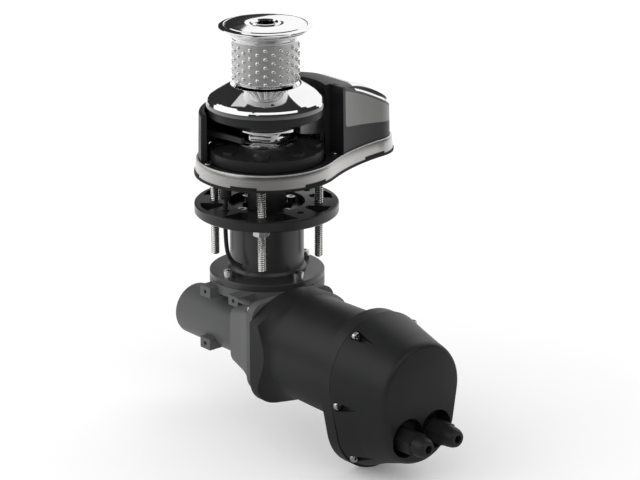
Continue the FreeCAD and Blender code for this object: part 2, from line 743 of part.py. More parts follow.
def motor_cover():
    """Round cover that flares into a squarish skirt, with a raised collar at the end cap."""
    shell = Part.makeCone(COVER_R - 2.0, COVER_R, JOINT_AT - COVER_AT, V(0, COVER_Y, COVER_AT + 4.0))
    start = V(COVER_R - 3.0, 0, FLARE_END)
    middle = V(COVER_R + 3.0, 0, SKIRT_END + 12.0)
    end = V(COVER_R + 17.0, 0, SKIRT_END)
    edges = [
        Part.Arc(start, middle, end).toShape(),
        Part.makeLine(end, V(CAN_R, 0, SKIRT_END)),
        Part.makeLine(V(CAN_R, 0, SKIRT_END), V(CAN_R, 0, FLARE_END)),
        Part.makeLine(V(CAN_R, 0, FLARE_END), start),
    ]
    flare = Part.Face(Part.Wire(edges)).revolve(V(), UP, 360)
    flare.translate(V(0, COVER_Y, 0))
    flare = flare.common(skirt(SKIRT_END - OPEN, FLARE_END + OPEN))
    collar = Part.Face(egg_wire(COLLAR, 0.0, JOINT_AT)).extrude(V(0, 0, CAP_AT - JOINT_AT))
    hollow = Part.Face(egg_wire(COLLAR, COLLAR_WALL, JOINT_AT + 5.0)).extrude(V(0, 0, CAP_AT - JOINT_AT))
    body = skirt(COVER_AT, SKIRT_END).fuse([shell, flare, collar])
    body = body.cut([cylinder(CAN_R + GAP, COVER_AT - OPEN, CAP_AT + OPEN), hollow, screw_holes()])
    return along_motor(body.removeSplitter())


def egg_wire(egg, inset, z):
    """Two circles one above the other, joined by tangent lines, at reach z."""
    top_r, low_r, low_y = egg
    top = top_r - inset
    low = low_r - inset
    lean = math.asin((top - low) / (EGG_TOP_Y - low_y))
    c = math.cos(lean)
    s = math.sin(lean)
    right_top = V(top * c, EGG_TOP_Y - top * s, z)
    right_low = V(low * c, low_y - low * s, z)
    left_top = V(-right_top.x, right_top.y, z)
    left_low = V(-right_low.x, right_low.y, z)
    edges = [
        Part.Arc(right_top, V(0, EGG_TOP_Y + top, z), left_top).toShape(),
        Part.makeLine(left_top, left_low),
        Part.Arc(left_low, V(0, low_y - low, z), right_low).toShape(),
        Part.makeLine(right_low, right_top),
    ]
    return Part.Wire(edges)


def outward(x, y):
    """Unit direction out of the cap's nearest side at a screw."""
    centre_y = EGG_TOP_Y if y > FLANK_Y else COLLAR[2]
    reach = math.hypot(x, y - centre_y)
    return x / reach, (y - centre_y) / reach


def scoop_wire(x, y, radius, z):
    """Slot open to the outside: a half circle round (x, y) and two sides that run outward."""
    out = V(*outward(x, y), 0)
    side = V(-out.y, out.x, 0)
    centre = V(x, y, z)
    far = out * SCOOP_REACH
    edges = [
        Part.Arc(centre + side * radius, centre - out * radius, centre - side * radius).toShape(),
        Part.makeLine(centre - side * radius, centre - side * radius + far),
        Part.makeLine(centre - side * radius + far, centre + side * radius + far),
        Part.makeLine(centre + side * radius + far, centre + side * radius),
    ]
    return Part.Wire(edges)


def screw_scoop(x, y, extra):
    """Teardrop recess that runs from a screw towards the cap's face and narrows to a point."""
    seat = CAP_AT + CAP_LEDGE
    ox, oy = outward(x, y)
    sink = SCOOP_SINK if y > FLANK_Y else SCOOP_SINK_LOW
    low = scoop_wire(x, y, SCREW_POCKET_R + extra, seat - extra)
    high = scoop_wire(x - ox * sink, y - oy * sink, 0.8 + extra, seat + SCOOP_LENGTH + extra)
    return Part.makeLoft([low, high], True, True)


def end_cap():
    """Hollow end cap with six screw recesses and a two-lobed ledge for the cable glands."""
    mass = Part.makeLoft([egg_wire(egg, 0.0, z) for z, egg in CAP_LEVELS], True, True)
    inner = [egg_wire(egg, inset, z) for z, egg, inset in CAP_HOLLOW]
    body = mass.cut(Part.makeLoft(inner, True, True))
    ledge = CAP_END - GLAND_LEDGE
    linings = [screw_scoop(x, y, SCOOP_WALL) for x, y in CAP_SCREW_PLACES]
    for x, y in LOBES:
        linings.append(cylinder(LOBE_R + LINING, ledge - WALL, CAP_END, x, y))
    body = body.fuse(Part.makeCompound(linings).common(mass).Solids)
    tools = [screw_scoop(x, y, 0.0) for x, y in CAP_SCREW_PLACES]
    for x, y in CAP_SCREW_PLACES:
        tools.append(cylinder(SCREW_R, CAP_AT, CAP_AT + CAP_LEDGE + OPEN, x, y))
    for x, y in LOBES:
        tools.append(cylinder(LOBE_R, ledge, CAP_END + OPEN, x, y))
    for x, y in gland_places():
        tools.append(cylinder(8.0, ledge - 2 * WALL, CAP_END, x, y))
    return along_motor(body.cut(tools))


def screw_holes():
    return Part.makeCompound([
        cylinder(SCREW_R, CAP_AT - SCREW_DEPTH, CAP_AT + 3.0, x, y) for x, y in CAP_SCREW_PLACES
    ])


def cap_gasket():
    sheet = Part.Face(egg_wire(COLLAR, 1.0, CAP_AT)).extrude(V(0, 0, GASKET_T))
    sheet = sheet.cut(Part.Face(egg_wire(COLLAR, COLLAR_WALL, CAP_AT)).extrude(V(0, 0, GASKET_T)))
    return along_motor(sheet.cut(screw_holes()))


def cap_screws():
    screws = []
    for x, y in CAP_SCREW_PLACES:
        seat = CAP_AT + CAP_LEDGE
        head = cylinder(5.0, seat, seat + 4.2, x, y)
        rim = [e for e in head.Edges if e.Closed and e.BoundBox.ZMin > seat + 2]
        head = head.makeFillet(1.6, rim)
        head = head.cut(regular(6, 4.0, seat + 1.6, seat + 5.0, x, y))
        rod = cylinder(SCREW_R, CAP_AT - SCREW_DEPTH, seat, x, y)
        screws.append(along_motor(head.fuse(rod)))
    return Part.makeCompound(screws)


def gland_places():
    return [(-GLAND_X, GLAND_Y), (GLAND_X, GLAND_Y)]


def cable_glands():
    """Gland bodies: a hexagon seated in the end cap and a threaded neck."""
    glands = []
    for x, y in gland_places():
        seat = CAP_END - GLAND_LEDGE
        body = regular(6, 22.0, seat + 8.0, seat + 16.0, x, y, 10.0)
        body = body.fuse([cylinder(8.0, seat - 12.0, seat, x, y), cylinder(11.0, seat, seat + 8.0, x, y)])
        body = body.fuse(cylinder(9.0, seat + 16.0, seat + 28.0, x, y))
        glands.append(along_motor(body.cut(cylinder(5.0, seat - 14.0, seat + 30.0, x, y))))
    return Part.makeCompound(glands)


def gland_nuts():
    """Domed clamping nuts with a hexagonal skirt."""
    nuts = []
    for x, y in gland_places():
        seat = CAP_END - GLAND_LEDGE + 17.0
        hexagon = regular(6, 24.0, seat, seat + 21.0, x, y, 40.0)
        profile = [(0, seat + 21.0), (11.5, seat + 21.0), (11.5, seat + 27.0), (10.5, seat + 33.0)]
        profile += [(9.0, seat + 36.5), (7.5, seat + 38.0), (0, seat + 38.0)]
        dome = revolved(profile)
        dome.translate(V(x, y, 0))
        nut = hexagon.fuse(dome).cut(cylinder(9.0, seat - OPEN, seat + 11.0, x, y))
        nuts.append(along_motor(nut.cut(cylinder(GLAND_BORE_R, seat, seat + 40.0, x, y))))
    return Part.makeCompound(nuts)


def gland_seals():
    """Rubber rings clamped inside the gland bodies."""
    seals = []
    for x, y in gland_places():
        seat = CAP_END - GLAND_LEDGE + 20.0
        seals.append(along_motor(ring(5.0, GLAND_BORE_R - 1.5, seat, seat + 7.0, x, y)))
    return Part.makeCompound(seals)


def motor_can():
    front = CAN_FROM + 6.0
    body = ring(CAN_R, CAN_R - 5.0, CAN_FROM, CAN_TO)
    body = body.fuse(ring(CAN_R - 5.0, MOTOR_BEARING_R, CAN_FROM, front))
    return along_motor(body.removeSplitter())


def motor_end_plate():
    body = ring(CAN_R, MOTOR_BEARING_R, CAN_TO, CAN_TO + 8.0)
    return along_motor(body)


def motor_bearings():
    return Part.makeCompound([
        along_motor(bearing(MOTOR_BEARING_R, MOTOR_SHAFT_R + FIT, at, at + 6.0)) for at in (CAN_FROM, CAN_TO)
    ])


def field_magnets():
    arcs = []
    for index in range(4):
        sector = prism([(0, 0), on_circle(90.0, -36.0), on_circle(90.0, 36.0)], 112.0, 190.0)
        magnet = ring(CAN_R - 5.0, 34.0, 112.0, 190.0).common(sector)
        arcs.append(along_motor(turned(magnet, 45 + 90 * index)))
    return Part.makeCompound(arcs)


ARMATURE_SLOTS = 16


def armature_core():
    core = ring(33.0, MOTOR_SHAFT_R, 114.0, 188.0)
    slots = []
    for index in range(ARMATURE_SLOTS):
        x, y = on_circle(26.0, 360.0 / ARMATURE_SLOTS * index)
        slots.append(cylinder(3.4, 113.0, 189.0, x, y))
        slots.append(turned(block(26.0, 36.0, -1.2, 1.2, 113.0, 189.0), 360.0 / ARMATURE_SLOTS * index))
    return along_motor(core.cut(Part.makeCompound(slots)))


def armature_windings():
    coils = []
    for index in range(ARMATURE_SLOTS):
        x, y = on_circle(26.0, 360.0 / ARMATURE_SLOTS * index)
        coils.append(cylinder(3.0, 112.0, 190.0, x, y))
    coils.append(ring(31.0, 19.0, 107.0, 113.5))
    coils.append(ring(31.0, 19.0, 188.5, 195.0))
    return along_motor(fused(coils))


def commutator():
    body = ring(COMMUTATOR_R, MOTOR_SHAFT_R, 197.0, 214.0)
    slots = []
    for index in range(ARMATURE_SLOTS):
        bar = block(COMMUTATOR_R - 1.5, COMMUTATOR_R + 1, -0.4, 0.4, 196.0, 215.0)
        slots.append(turned(bar, 360.0 / ARMATURE_SLOTS * (index + 0.5)))
    return along_motor(body.cut(Part.makeCompound(slots)))


def motor_shaft():
    return along_motor(cylinder(MOTOR_SHAFT_R, FRONT_BEARING_AT + 29.0, CAN_TO + 7.0))


def brush_plate():
    plate = ring(CAN_R - 5.0, COMMUTATOR_R + 3.0, 211.5, 215.5)
    guides = []
    for index in range(4):
        guide = block(COMMUTATOR_R + 4.0, 37.0, -7.0, 7.0, 199.0, 211.5)
        guide = guide.cut(block(COMMUTATOR_R, 38.0, -5.0, 5.0, 201.0, 209.5))
        guides.append(turned(guide, 45 + 90 * index))
    return along_motor(plate.fuse(guides))


def brushes():
    blocks = []
    for index in range(4):
        blocks.append(turned(block(COMMUTATOR_R + 0.4, 33.0, -4.9, 4.9, 201.1, 209.4), 45 + 90 * index))
    return along_motor(Part.makeCompound(blocks))


def terminal_posts():
    posts = []
    for x, y in ((-20.0, 26.0), (20.0, 26.0), (0.0, -30.0)):
        post = cylinder(3.9, CAN_TO + 8.0, CAN_TO + 32.0, x, y)
        post = post.fuse(regular(6, 13.0, CAN_TO + 12.0, CAN_TO + 18.0, x, y))
        posts.append(along_motor(post))
    return Part.makeCompound(posts)


# ---------------------------------------------------------------- hawse cover

def cover_outline(inset, z):
    return outline(COVER_BIG_R - inset, COVER_TAIL_R - inset, WAIST_R + inset, z)


def under_arch(heights, drop):
    """Everything under an arched line in the XZ plane, lowered by drop."""
    reach = 110.0
    points = [V(x, -reach, z - drop) for x, z in heights]
    left = points[0]
    right = points[-1]
    floor_right = V(right.x, -reach, 0)
    floor_left = V(left.x, -reach, 0)
    arch = Part.BSplineCurve()
    arch.interpolate(points)
    edges = [
        arch.toShape(),
        Part.makeLine(right, floor_right),
        Part.makeLine(floor_right, floor_left),
        Part.makeLine(floor_left, left),
    ]
    return Part.Face(Part.Wire(edges)).extrude(V(0, 2 * reach, 0))


def crown(drop):
    return under_arch(CROWN_POINTS, drop)


def cover_mass(inset, z0):
    high = 104.0
    wires = [cover_outline(inset, z0), cover_outline(inset + COVER_LEAN, high)]
    return Part.makeLoft(wires, True, True)


def rounded_mass():
    """Cover's full outer shape with its rounded top edge."""
    body = cover_mass(0.0, TRAY_TOP).common(crown(0.0))
    top = max(body.Faces, key=lambda face: face.CenterOfMass.z)
    return body.makeFillet(COVER_ROUND, top.Edges)


def wall_sector():
    """Open side of the wall: from its left end round to the flat face of the right column."""
    far = 200.0
    corner = (COLUMN_X, -math.sqrt((COVER_INNER_R + COVER_WALL) ** 2 - COLUMN_X ** 2) - 8.0)
    points = [(0, 0), on_circle(far, COVER_TO), (-far, -far), (COLUMN_X, -far), corner]
    points.append(on_circle(COVER_INNER_R - OPEN, COVER_FROM))
    return prism(points, 0, 130.0)


def panel_region():
    """Outline of the side panel, seen along Y, with a rounded lower front corner."""
    far = 200.0
    far_z = PANEL_FRONT_Z - PANEL_FALL * (far - PANEL_X)
    points = [(PANEL_X, PANEL_FRONT_Z), (far, far_z), (far, 120.0), (PANEL_X, 120.0)]
    wire = Part.makePolygon([V(x, -110, z) for x, z in points + points[:1]])
    body = Part.Face(wire).extrude(V(0, 220, 0))
    corner = [e for e in body.Edges if e.BoundBox.YLength > 200 and e.BoundBox.XMax < PANEL_X + 1]
    corner = [e for e in corner if e.BoundBox.ZMax < 100]
    return body.makeFillet(6.0, corner).common(under_arch(PANEL_EDGE_POINTS, PANEL_SEAM))


def cover_skin(depth):
    return rounded_mass().cut(cover_mass(depth, TRAY_TOP - OPEN))


def side_panel():
    return cover_skin(1.6).common(panel_region())


def top_region():
    return block(CAP_PANEL_X, 200.0, -110, 110, 0, 120).cut(under_arch(PANEL_EDGE_POINTS, 0.0))


def top_panel():
    shell = rounded_mass().common(top_region())
    return shell.cut(cover_mass(3.0, TRAY_TOP - OPEN).common(crown(2.5)))


def hawse_cover():
    body = rounded_mass()
    hollow = cover_mass(COVER_WALL + 1.6, 0.0).common(crown(COVER_WALL + 3.0))
    hollow = hollow.common(block(COLUMN_X + 16.0, 200, -110, 110, 0, 130))
    tools = [hollow, cylinder(COVER_INNER_R, 0, 130), wall_sector()]
    tools.append(block(40.0, 100.0, -MOUTH_HALF, MOUTH_HALF, 0, MOUTH_TOP))
    window = prism([(0, 0), on_circle(120.0, 100.0), on_circle(120.0, 120.0)], TRAY_TOP - OPEN, 27.0)
    tools.append(window)
    px, py = arm_pivot()
    tools.append(cylinder(4.7, ARM_Z - 1.0, ARM_Z + ARM_H + 1.0, px, py))
    tools.append(cylinder(PIN_R, ARM_Z - 6.0, ARM_Z + ARM_H + 6.0, px, py))
    sx, sy = COVER_SCREW
    tools.append(cylinder(4.9, 80.0, 130.0, sx, sy))
    tools.append(cylinder(2.6, 60.0, 130.0, sx, sy))
    body = body.cut(Part.makeCompound(tools))
    return body.cut(side_panel()).cut(top_panel())


def cover_screws():
    """Deep screw in the column and the small button screws beside the wall's feet."""
    sx, sy = COVER_SCREW
    head = cylinder(4.8, 80.0, 84.0, sx, sy).cut(regular(6, 4.0, 82.0, 85.0, sx, sy))
    screws = [head.fuse(cylinder(2.6, 60.0, 80.0, sx, sy))]
    for x, y in BASE_SCREWS:
        head = cylinder(4.0, TRAY_TOP, TRAY_TOP + 2.4, x, y)
        rim = [e for e in head.Edges if e.Closed and e.BoundBox.ZMin > TRAY_TOP + 1]
        screws.append(head.makeFillet(1.2, rim).cut(regular(6, 3.0, TRAY_TOP + 1.0, TRAY_TOP + 4.0, x, y)))
    return Part.makeCompound(screws)


def chain_stripper():
    points = [(38.5, 40.0), (38.5, 54.5), (66.0, 67.0), (79.0, 67.0), (79.0, TRAY_TOP), (67.6, TRAY_TOP)]
    points += [(67.6, PAD_TOP + 1.2), (62.0, PAD_TOP + 1.2)]
    wire = Part.makePolygon([V(x, STRIPPER_Y, z) for x, z in points + points[:1]])
    return Part.Face(wire).extrude(V(0, STRIPPER_W, 0))


def arm_pivot():
    return on_circle(ARM_PIVOT_R, ARM_PIVOT_ANGLE)


def control_arm():
    """Curved finger that presses the chain into the wheel, pivoted in the cover's left wall."""
    px, py = arm_pivot()
    tx, ty = on_circle(ARM_TIP_R, ARM_TIP_ANGLE)
    run = V(tx - px, ty - py, 0)
    side = V(-run.y, run.x, 0).normalize()
    pivot = V(px, py, ARM_Z)
    tip = V(tx, ty, ARM_Z)
    bow = pivot + run * 0.5 + side * 3.0
    edges = [
        Part.Arc(pivot + side * 3.0, bow + side * 3.0, tip + side * 2.5).toShape(),
        Part.Arc(tip + side * 2.5, tip + run.normalize() * 2.5, tip - side * 2.5).toShape(),
        Part.Arc(tip - side * 2.5, bow - side * 3.0, pivot - side * 3.0).toShape(),
        Part.makeLine(pivot - side * 3.0, pivot + side * 3.0),
    ]
    finger = Part.Face(Part.Wire(edges)).extrude(V(0, 0, ARM_H))
    eye = cylinder(4.0, ARM_Z, ARM_Z + ARM_H, px, py)
    body = finger.fuse(eye).removeSplitter()
    return body.cut(cylinder(PIN_R + FIT, ARM_Z - OPEN, ARM_Z + ARM_H + OPEN, px, py))


def arm_pin():
    px, py = arm_pivot()
    return cylinder(PIN_R, ARM_Z - 6.0, ARM_Z + ARM_H + 6.0, px, py)


# ---------------------------------------------------------------- main shaft, clutch, chain wheel, drum

def main_shaft():
    profile = [(0, SHAFT_BOTTOM), (JOURNAL_R, SHAFT_BOTTOM), (JOURNAL_R, LOWER_BEARING[1])]
    profile += [(SHAFT_R, LOWER_BEARING[1]), (SHAFT_R, SHAFT_SHOULDER), (THREAD_R, SHAFT_SHOULDER)]
    profile += [(THREAD_R, SHAFT_TOP - 1.5), (THREAD_R - 1.5, SHAFT_TOP), (0, SHAFT_TOP)]
    body = revolved(profile)
    for low, high in KEY_SPANS:
        body = body.cut(block(SHAFT_R - 3.5, SHAFT_R + 5, -3, 3, low, high))
    grooves = [ring(SHAFT_R + 2, SHAFT_R - 1.0, z, z + CLIP_H) for z in CLIP_PLACES]
    return body.cut(Part.makeCompound(grooves))


def shaft_keys():
    return Part.makeCompound([
        block(SHAFT_R - 3.5, SHAFT_R + 3.0, -3, 3, low, high) for low, high in KEY_SPANS
    ])


def shaft_circlips():
    clips = []
    for z in CLIP_PLACES:
        clip = ring(SHAFT_R + 3.0, SHAFT_R - 1.0, z, z + CLIP_H)
        clips.append(clip.cut(block(-40, 0, -2.5, 2.5, z - OPEN, z + 3)))
    return Part.makeCompound(clips)


LOWER_CONE_Z = 18.2
LOWER_CONE_TOP = 34.0
LOWER_SEAT = ((32.6, GYPSY_BOTTOM), (27.6, 34.6))
UPPER_SEAT = ((26.3, 60.0), (31.3, UPPER_TOP))


def keyed(body, z0, z1):
    body = body.cut(cylinder(SHAFT_R, z0 - OPEN, z1 + OPEN))
    return body.cut(block(0, SHAFT_R + 3.2, -3.1, 3.1, z0 - OPEN, z1 + OPEN))


def seat_radius(seat, z):
    (r0, z0), (r1, z1) = seat
    return r0 + (r1 - r0) * (z - z0) / (z1 - z0)


def clutch_cone(seat, z0, z1):
    profile = [(0, z0), (seat_radius(seat, z0) - GAP, z0), (seat_radius(seat, z1) - GAP, z1), (0, z1)]
    return keyed(revolved(profile), z0, z1)


def gypsy_upper():
    profile = [(BORE_R, SPROCKET_TOP), (34.6, SPROCKET_TOP), (GYPSY_R - 0.5, UPPER_EDGE)]
    profile += [(GYPSY_R - 0.5, UPPER_TOP), UPPER_SEAT[1], UPPER_SEAT[0], (BORE_R, 60.0)]
    return revolved(profile)


def gypsy_lower():
    """Lower flange: round rim, eight facets and raised pads on top, clutch seat underneath."""
    rim = cylinder(GYPSY_R, GYPSY_BOTTOM, GYPSY_RIM)
    low = regular(8, 2 * (GYPSY_R - 2.5), GYPSY_RIM, GYPSY_RIM + 1, turn=FACET_TURN)
    high = regular(8, 2 * SPROCKET_R - 4.0, SPROCKET_BOTTOM - 1, SPROCKET_BOTTOM, turn=FACET_TURN)
    bottom_wire = min(low.Faces, key=lambda f: f.CenterOfMass.z).OuterWire
    top_wire = max(high.Faces, key=lambda f: f.CenterOfMass.z).OuterWire
    facets = Part.makeLoft([bottom_wire, top_wire], True, True)
    pads = []
    for index in range(8):
        x, y = on_circle(52.0, 45 * index)
        pads.append(regular(6, 17.0, GYPSY_RIM - 1, PAD_TOP, x, y, 45 * index))
    envelope = cylinder(GYPSY_R, GYPSY_RIM, SPROCKET_BOTTOM)
    body = rim.fuse([facets.common(envelope)] + pads).removeSplitter()
    seat = [(0, GYPSY_BOTTOM - OPEN), (seat_radius(LOWER_SEAT, GYPSY_BOTTOM - OPEN), GYPSY_BOTTOM - OPEN)]
    seat += [LOWER_SEAT[1], (0, LOWER_SEAT[1][1])]
    return body.cut(revolved(seat)).cut(cylinder(BORE_R, 0, 60))


POCKETS = 5


def gypsy_sprocket():
    """Chain wheel ring: pockets for the lying links and a groove for the standing links."""
    middle = (SPROCKET_BOTTOM + SPROCKET_TOP) / 2
    body = ring(SPROCKET_R, BORE_R, SPROCKET_BOTTOM, SPROCKET_TOP)
    tools = [ring(SPROCKET_R + 5, 27.0, middle - 4.6, middle + 4.6)]
    for index in range(POCKETS):
        link = Part.makeCylinder(7.5, 44.0, V(31.5, -22.0, middle), V(0, 1, 0))
        tools.append(turned(link, 360.0 / POCKETS * index))
    return body.cut(Part.makeCompound(tools))


def gypsy_dome():
    """Polished dome: thin rim, rounded shoulder and a straight cone up to the drum's lip."""
    outer = [(GYPSY_R - 2.0, UPPER_TOP), (DOME_R, UPPER_TOP), (DOME_R, UPPER_TOP + 3.1)]
    outer += [(67.1, 83.4), (66.4, 85.3), (65.2, 87.4), (63.6, 89.2), (61.4, 90.9), (55.0, 94.9)]
    outer += [(40.0, 103.8), (39.2, 103.6), (38.4, DOME_TOP)]
    inner = [(25.5, DOME_TOP), (25.5, DOME_TOP - 3.0), (36.0, DOME_TOP - 4.0), (58.0, 86.0)]
    inner += [(60.0, UPPER_TOP)]
    return revolved(outer + inner)


def drum():
    """Rope drum: rounded lip, straight barrel and flare, hollow under its cap."""
    outer = [(SHAFT_R + FIT, 84.0), (24.0, 84.0), (24.0, DRUM_BOTTOM), (35.4, DRUM_BOTTOM)]
    outer += [(37.0, 104.2), (38.0, 105.6), (DRUM_R, 107.4), (DRUM_R, DRUM_FLARE)]
    outer += [(40.5, 158.5), (44.0, 161.5), (50.0, 165.0), (52.0, 166.6)]
    inner = [(NUT_R + 12.0, 166.6), (33.0, 156.0), (33.0, 114.0), (NUT_R + 4.0, 110.0)]
    inner += [(NUT_R + 4.0, 160.0), (NUT_R + 0.1, 160.0), (NUT_R + 0.1, NUT_BOTTOM)]
    inner += [(THREAD_R + 0.2, NUT_BOTTOM), (THREAD_R + 0.2, SHAFT_SHOULDER + 3.0)]
    inner += [(SHAFT_R + FIT, SHAFT_SHOULDER + 3.0)]
    body = revolved(outer + inner)
    return body.cut(block(0, SHAFT_R + 3.3, -3.1, 3.1, 83.0, SHAFT_SHOULDER + 3.0))


def drum_cap():
    """Polished cap with a rolled rim and a ring groove."""
    profile = [(NUT_R + 0.1, 166.6), (52.0, 166.6), (CAP_R, 168.0), (CAP_R, CAP_RIM_Z), (52.0, 170.4)]
    profile += [(47.0, 171.4), (46.6, 170.6), (44.6, 170.8), (44.2, 171.8), (30.0, 172.4)]
    profile += [(NUT_R + 0.1, 172.6)]
    return revolved(profile)


def star_socket(z0, z1):
    squares = [regular(4, SOCKET_WIDTH, z0, z1, turn=turn) for turn in (0, 45)]
    return squares[0].fuse(squares[1])


def clutch_nut():
    """Clutch nut with a dished top and an eight-point star socket."""
    body = cylinder(NUT_R, NUT_BOTTOM, NUT_TOP)
    rim = [e for e in body.Edges if e.Closed and e.BoundBox.ZMin > NUT_TOP - 1]
    body = body.makeChamfer(1.0, rim)
    dish = Part.makeCone(12.6, 14.6, 2.0, V(0, 0, NUT_TOP - 1.6))
    body = body.cut(dish).cut(star_socket(NUT_TOP - SOCKET_DEPTH, NUT_TOP + OPEN))
    return body.cut(cylinder(THREAD_R + FIT, NUT_BOTTOM - OPEN, SHAFT_TOP + 3.0))


FIXED_NODES = {
    "base_gasket": base_gasket,
    "base_casting": base_casting,
    "base_tray": base_tray,
    "deck_studs": deck_studs,
    "stud_washers": stud_washers,
    "stud_nuts": stud_nuts,
    "deck_flange": deck_flange,
    "flange_screws": flange_screws,
    "chain_sensor": chain_sensor,
    "sensor_cable": sensor_cable,
    "shaft_housing": shaft_housing,
    "hub_bush": lambda: bush(-24.0, 8.0),
    "upper_seal": shaft_seal,
    "upper_bearing": lambda: bearing(BEARING_R, SHAFT_R + FIT, *UPPER_BEARING),
    "lower_bearing": lambda: bearing(21.0, JOURNAL_R + FIT, *LOWER_BEARING),
    "housing_gasket": housing_gasket,
    "foot_screws": foot_screws,
    "gearbox_case": gearbox_case,
    "drain_plug": drain_plug,
    "worm_seal": worm_seal,
    "worm_bearings": worm_bearings,
    "motor_adaptor": motor_adaptor,
    "adaptor_screws": adaptor_screws,
    "motor_cover": motor_cover,
    "motor_can": motor_can,
    "motor_end_plate": motor_end_plate,
    "motor_bearings": motor_bearings,
    "field_magnets": field_magnets,
    "brush_plate": brush_plate,
    "brushes": brushes,
    "terminal_posts": terminal_posts,
    "cap_gasket": cap_gasket,
    "end_cap": end_cap,
    "cap_screws": cap_screws,
    "cable_glands": cable_glands,
    "gland_nuts": gland_nuts,
    "gland_seals": gland_seals,
    "hawse_cover": hawse_cover,
    "cover_top_panel": top_panel,
    "cover_side_panel": side_panel,
    "cover_screws": cover_screws,
    "chain_stripper": chain_stripper,
    "arm_pin": arm_pin,
}

MOVING_NODES = {
    "control_arm": control_arm,
    "worm_shaft": worm_shaft,
    "shaft_coupling": shaft_coupling,
    "armature": lambda: fused([motor_shaft(), armature_core(), armature_windings(), commutator()]),
    "main_shaft": main_shaft,
    "worm_wheel": worm_wheel,
    "shaft_keys": shaft_keys,
    "shaft_circlips": shaft_circlips,
    "lower_clutch_cone": lambda: clutch_cone(LOWER_SEAT, LOWER_CONE_Z, LOWER_CONE_TOP),
    "upper_clutch_cone": lambda: clutch_cone(UPPER_SEAT, 60.4, UPPER_TOP + 2.0),
    "gypsy_lower": gypsy_lower,
    "gypsy_sprocket": gypsy_sprocket,
    "gypsy_upper": gypsy_upper,
    "gypsy_dome": gypsy_dome,
    "drum": drum,
    "drum_cap": drum_cap,
    "clutch_nut": clutch_nut,
}

for node, make in (FIXED_NODES | MOVING_NODES).items():
    export(node, make())
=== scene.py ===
"""Looks of an anchor windlass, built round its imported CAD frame.

Sizes are in millimetres, as in the part's source, and mm() turns them into Blender's metres.
"""
import json
import math

import bmesh
import bpy
from mathutils import Matrix, Vector


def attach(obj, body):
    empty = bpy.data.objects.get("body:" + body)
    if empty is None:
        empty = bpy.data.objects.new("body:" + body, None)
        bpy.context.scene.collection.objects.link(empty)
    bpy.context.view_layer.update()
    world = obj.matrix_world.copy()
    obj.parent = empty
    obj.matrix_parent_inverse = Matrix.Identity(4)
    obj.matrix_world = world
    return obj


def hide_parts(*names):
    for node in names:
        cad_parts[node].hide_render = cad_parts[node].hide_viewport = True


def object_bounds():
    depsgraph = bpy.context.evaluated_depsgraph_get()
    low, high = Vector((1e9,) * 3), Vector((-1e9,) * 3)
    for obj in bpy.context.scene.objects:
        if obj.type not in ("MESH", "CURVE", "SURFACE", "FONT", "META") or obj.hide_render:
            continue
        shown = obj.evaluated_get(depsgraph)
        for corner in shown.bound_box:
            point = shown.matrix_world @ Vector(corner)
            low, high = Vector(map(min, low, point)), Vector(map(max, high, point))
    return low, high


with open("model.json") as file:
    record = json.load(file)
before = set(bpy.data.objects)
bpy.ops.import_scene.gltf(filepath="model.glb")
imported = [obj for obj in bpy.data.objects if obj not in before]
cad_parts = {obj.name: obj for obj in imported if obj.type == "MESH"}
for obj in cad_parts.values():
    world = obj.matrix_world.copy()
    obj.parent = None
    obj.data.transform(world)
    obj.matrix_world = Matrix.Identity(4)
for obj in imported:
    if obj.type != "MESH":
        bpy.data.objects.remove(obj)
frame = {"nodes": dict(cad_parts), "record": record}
cad_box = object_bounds()
NODES = frame["nodes"]

# Deck studs. Their ring, radius and ends repeat the CAD part's, and the thread is only a look.
STUD_RING = 59.0
STUD_ANGLES = (45, 135, 225, 315)
STUD_R = 5.0
STUD_BOTTOM = -98.5
STUD_TOP = 6.0
THREAD_ROOT_R = 4.2
THREAD_PITCH = 2.5
THREAD_END_R = 3.7           # at the rod's two end faces

# Chain counter's cable, in metres. The route repeats the CAD part's.
CABLE_D = 0.005
CABLE_ROUTE = [
    (-0.0590, 0.0000, -0.0140), (-0.0590, 0.0000, -0.0255), (-0.0593, 0.0003, -0.0380),
    (-0.0595, 0.0005, -0.0510), (-0.0593, 0.0003, -0.0640), (-0.0587, -0.0003, -0.0765),
    (-0.0577, -0.0014, -0.0854), (-0.0551, -0.0039, -0.0925), (-0.0514, -0.0078, -0.0970),
    (-0.0467, -0.0126, -0.0992),
]

# Camera and stage
VIEW_TURN = math.radians(-40.5)      # turns the stage, so that the camera looks along its +Y
CAMERA_AT = (-1.7714, -2.1668, 0.8657)
CAMERA_ALONG = (0.6152, 0.7203, -0.3206)
LENS = 146.25
FLOOR_SIZE = 40.0
FLOOR_GAP = 0.0015


def mm(*values):
    return tuple(value / 1000 for value in values)


# ---------------------------------------------------------------- mesh work

def add_object(name, mesh, body, materials):
    obj = bpy.data.objects.new(name, mesh)
    bpy.context.scene.collection.objects.link(obj)
    for material in materials:
        mesh.materials.append(material)
    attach(obj, body)
    return obj


def smooth_mesh(name, bm, angle=34.0):
    """Finished mesh of bm: smooth shading, with its edges sharper than angle kept sharp."""
    bmesh.ops.recalc_face_normals(bm, faces=bm.faces)
    mesh = bpy.data.meshes.new(name)
    bm.to_mesh(mesh)
    bm.free()
    mesh.polygons.foreach_set("use_smooth", [True] * len(mesh.polygons))
    mesh.set_sharp_from_angle(angle=math.radians(angle))
    return mesh


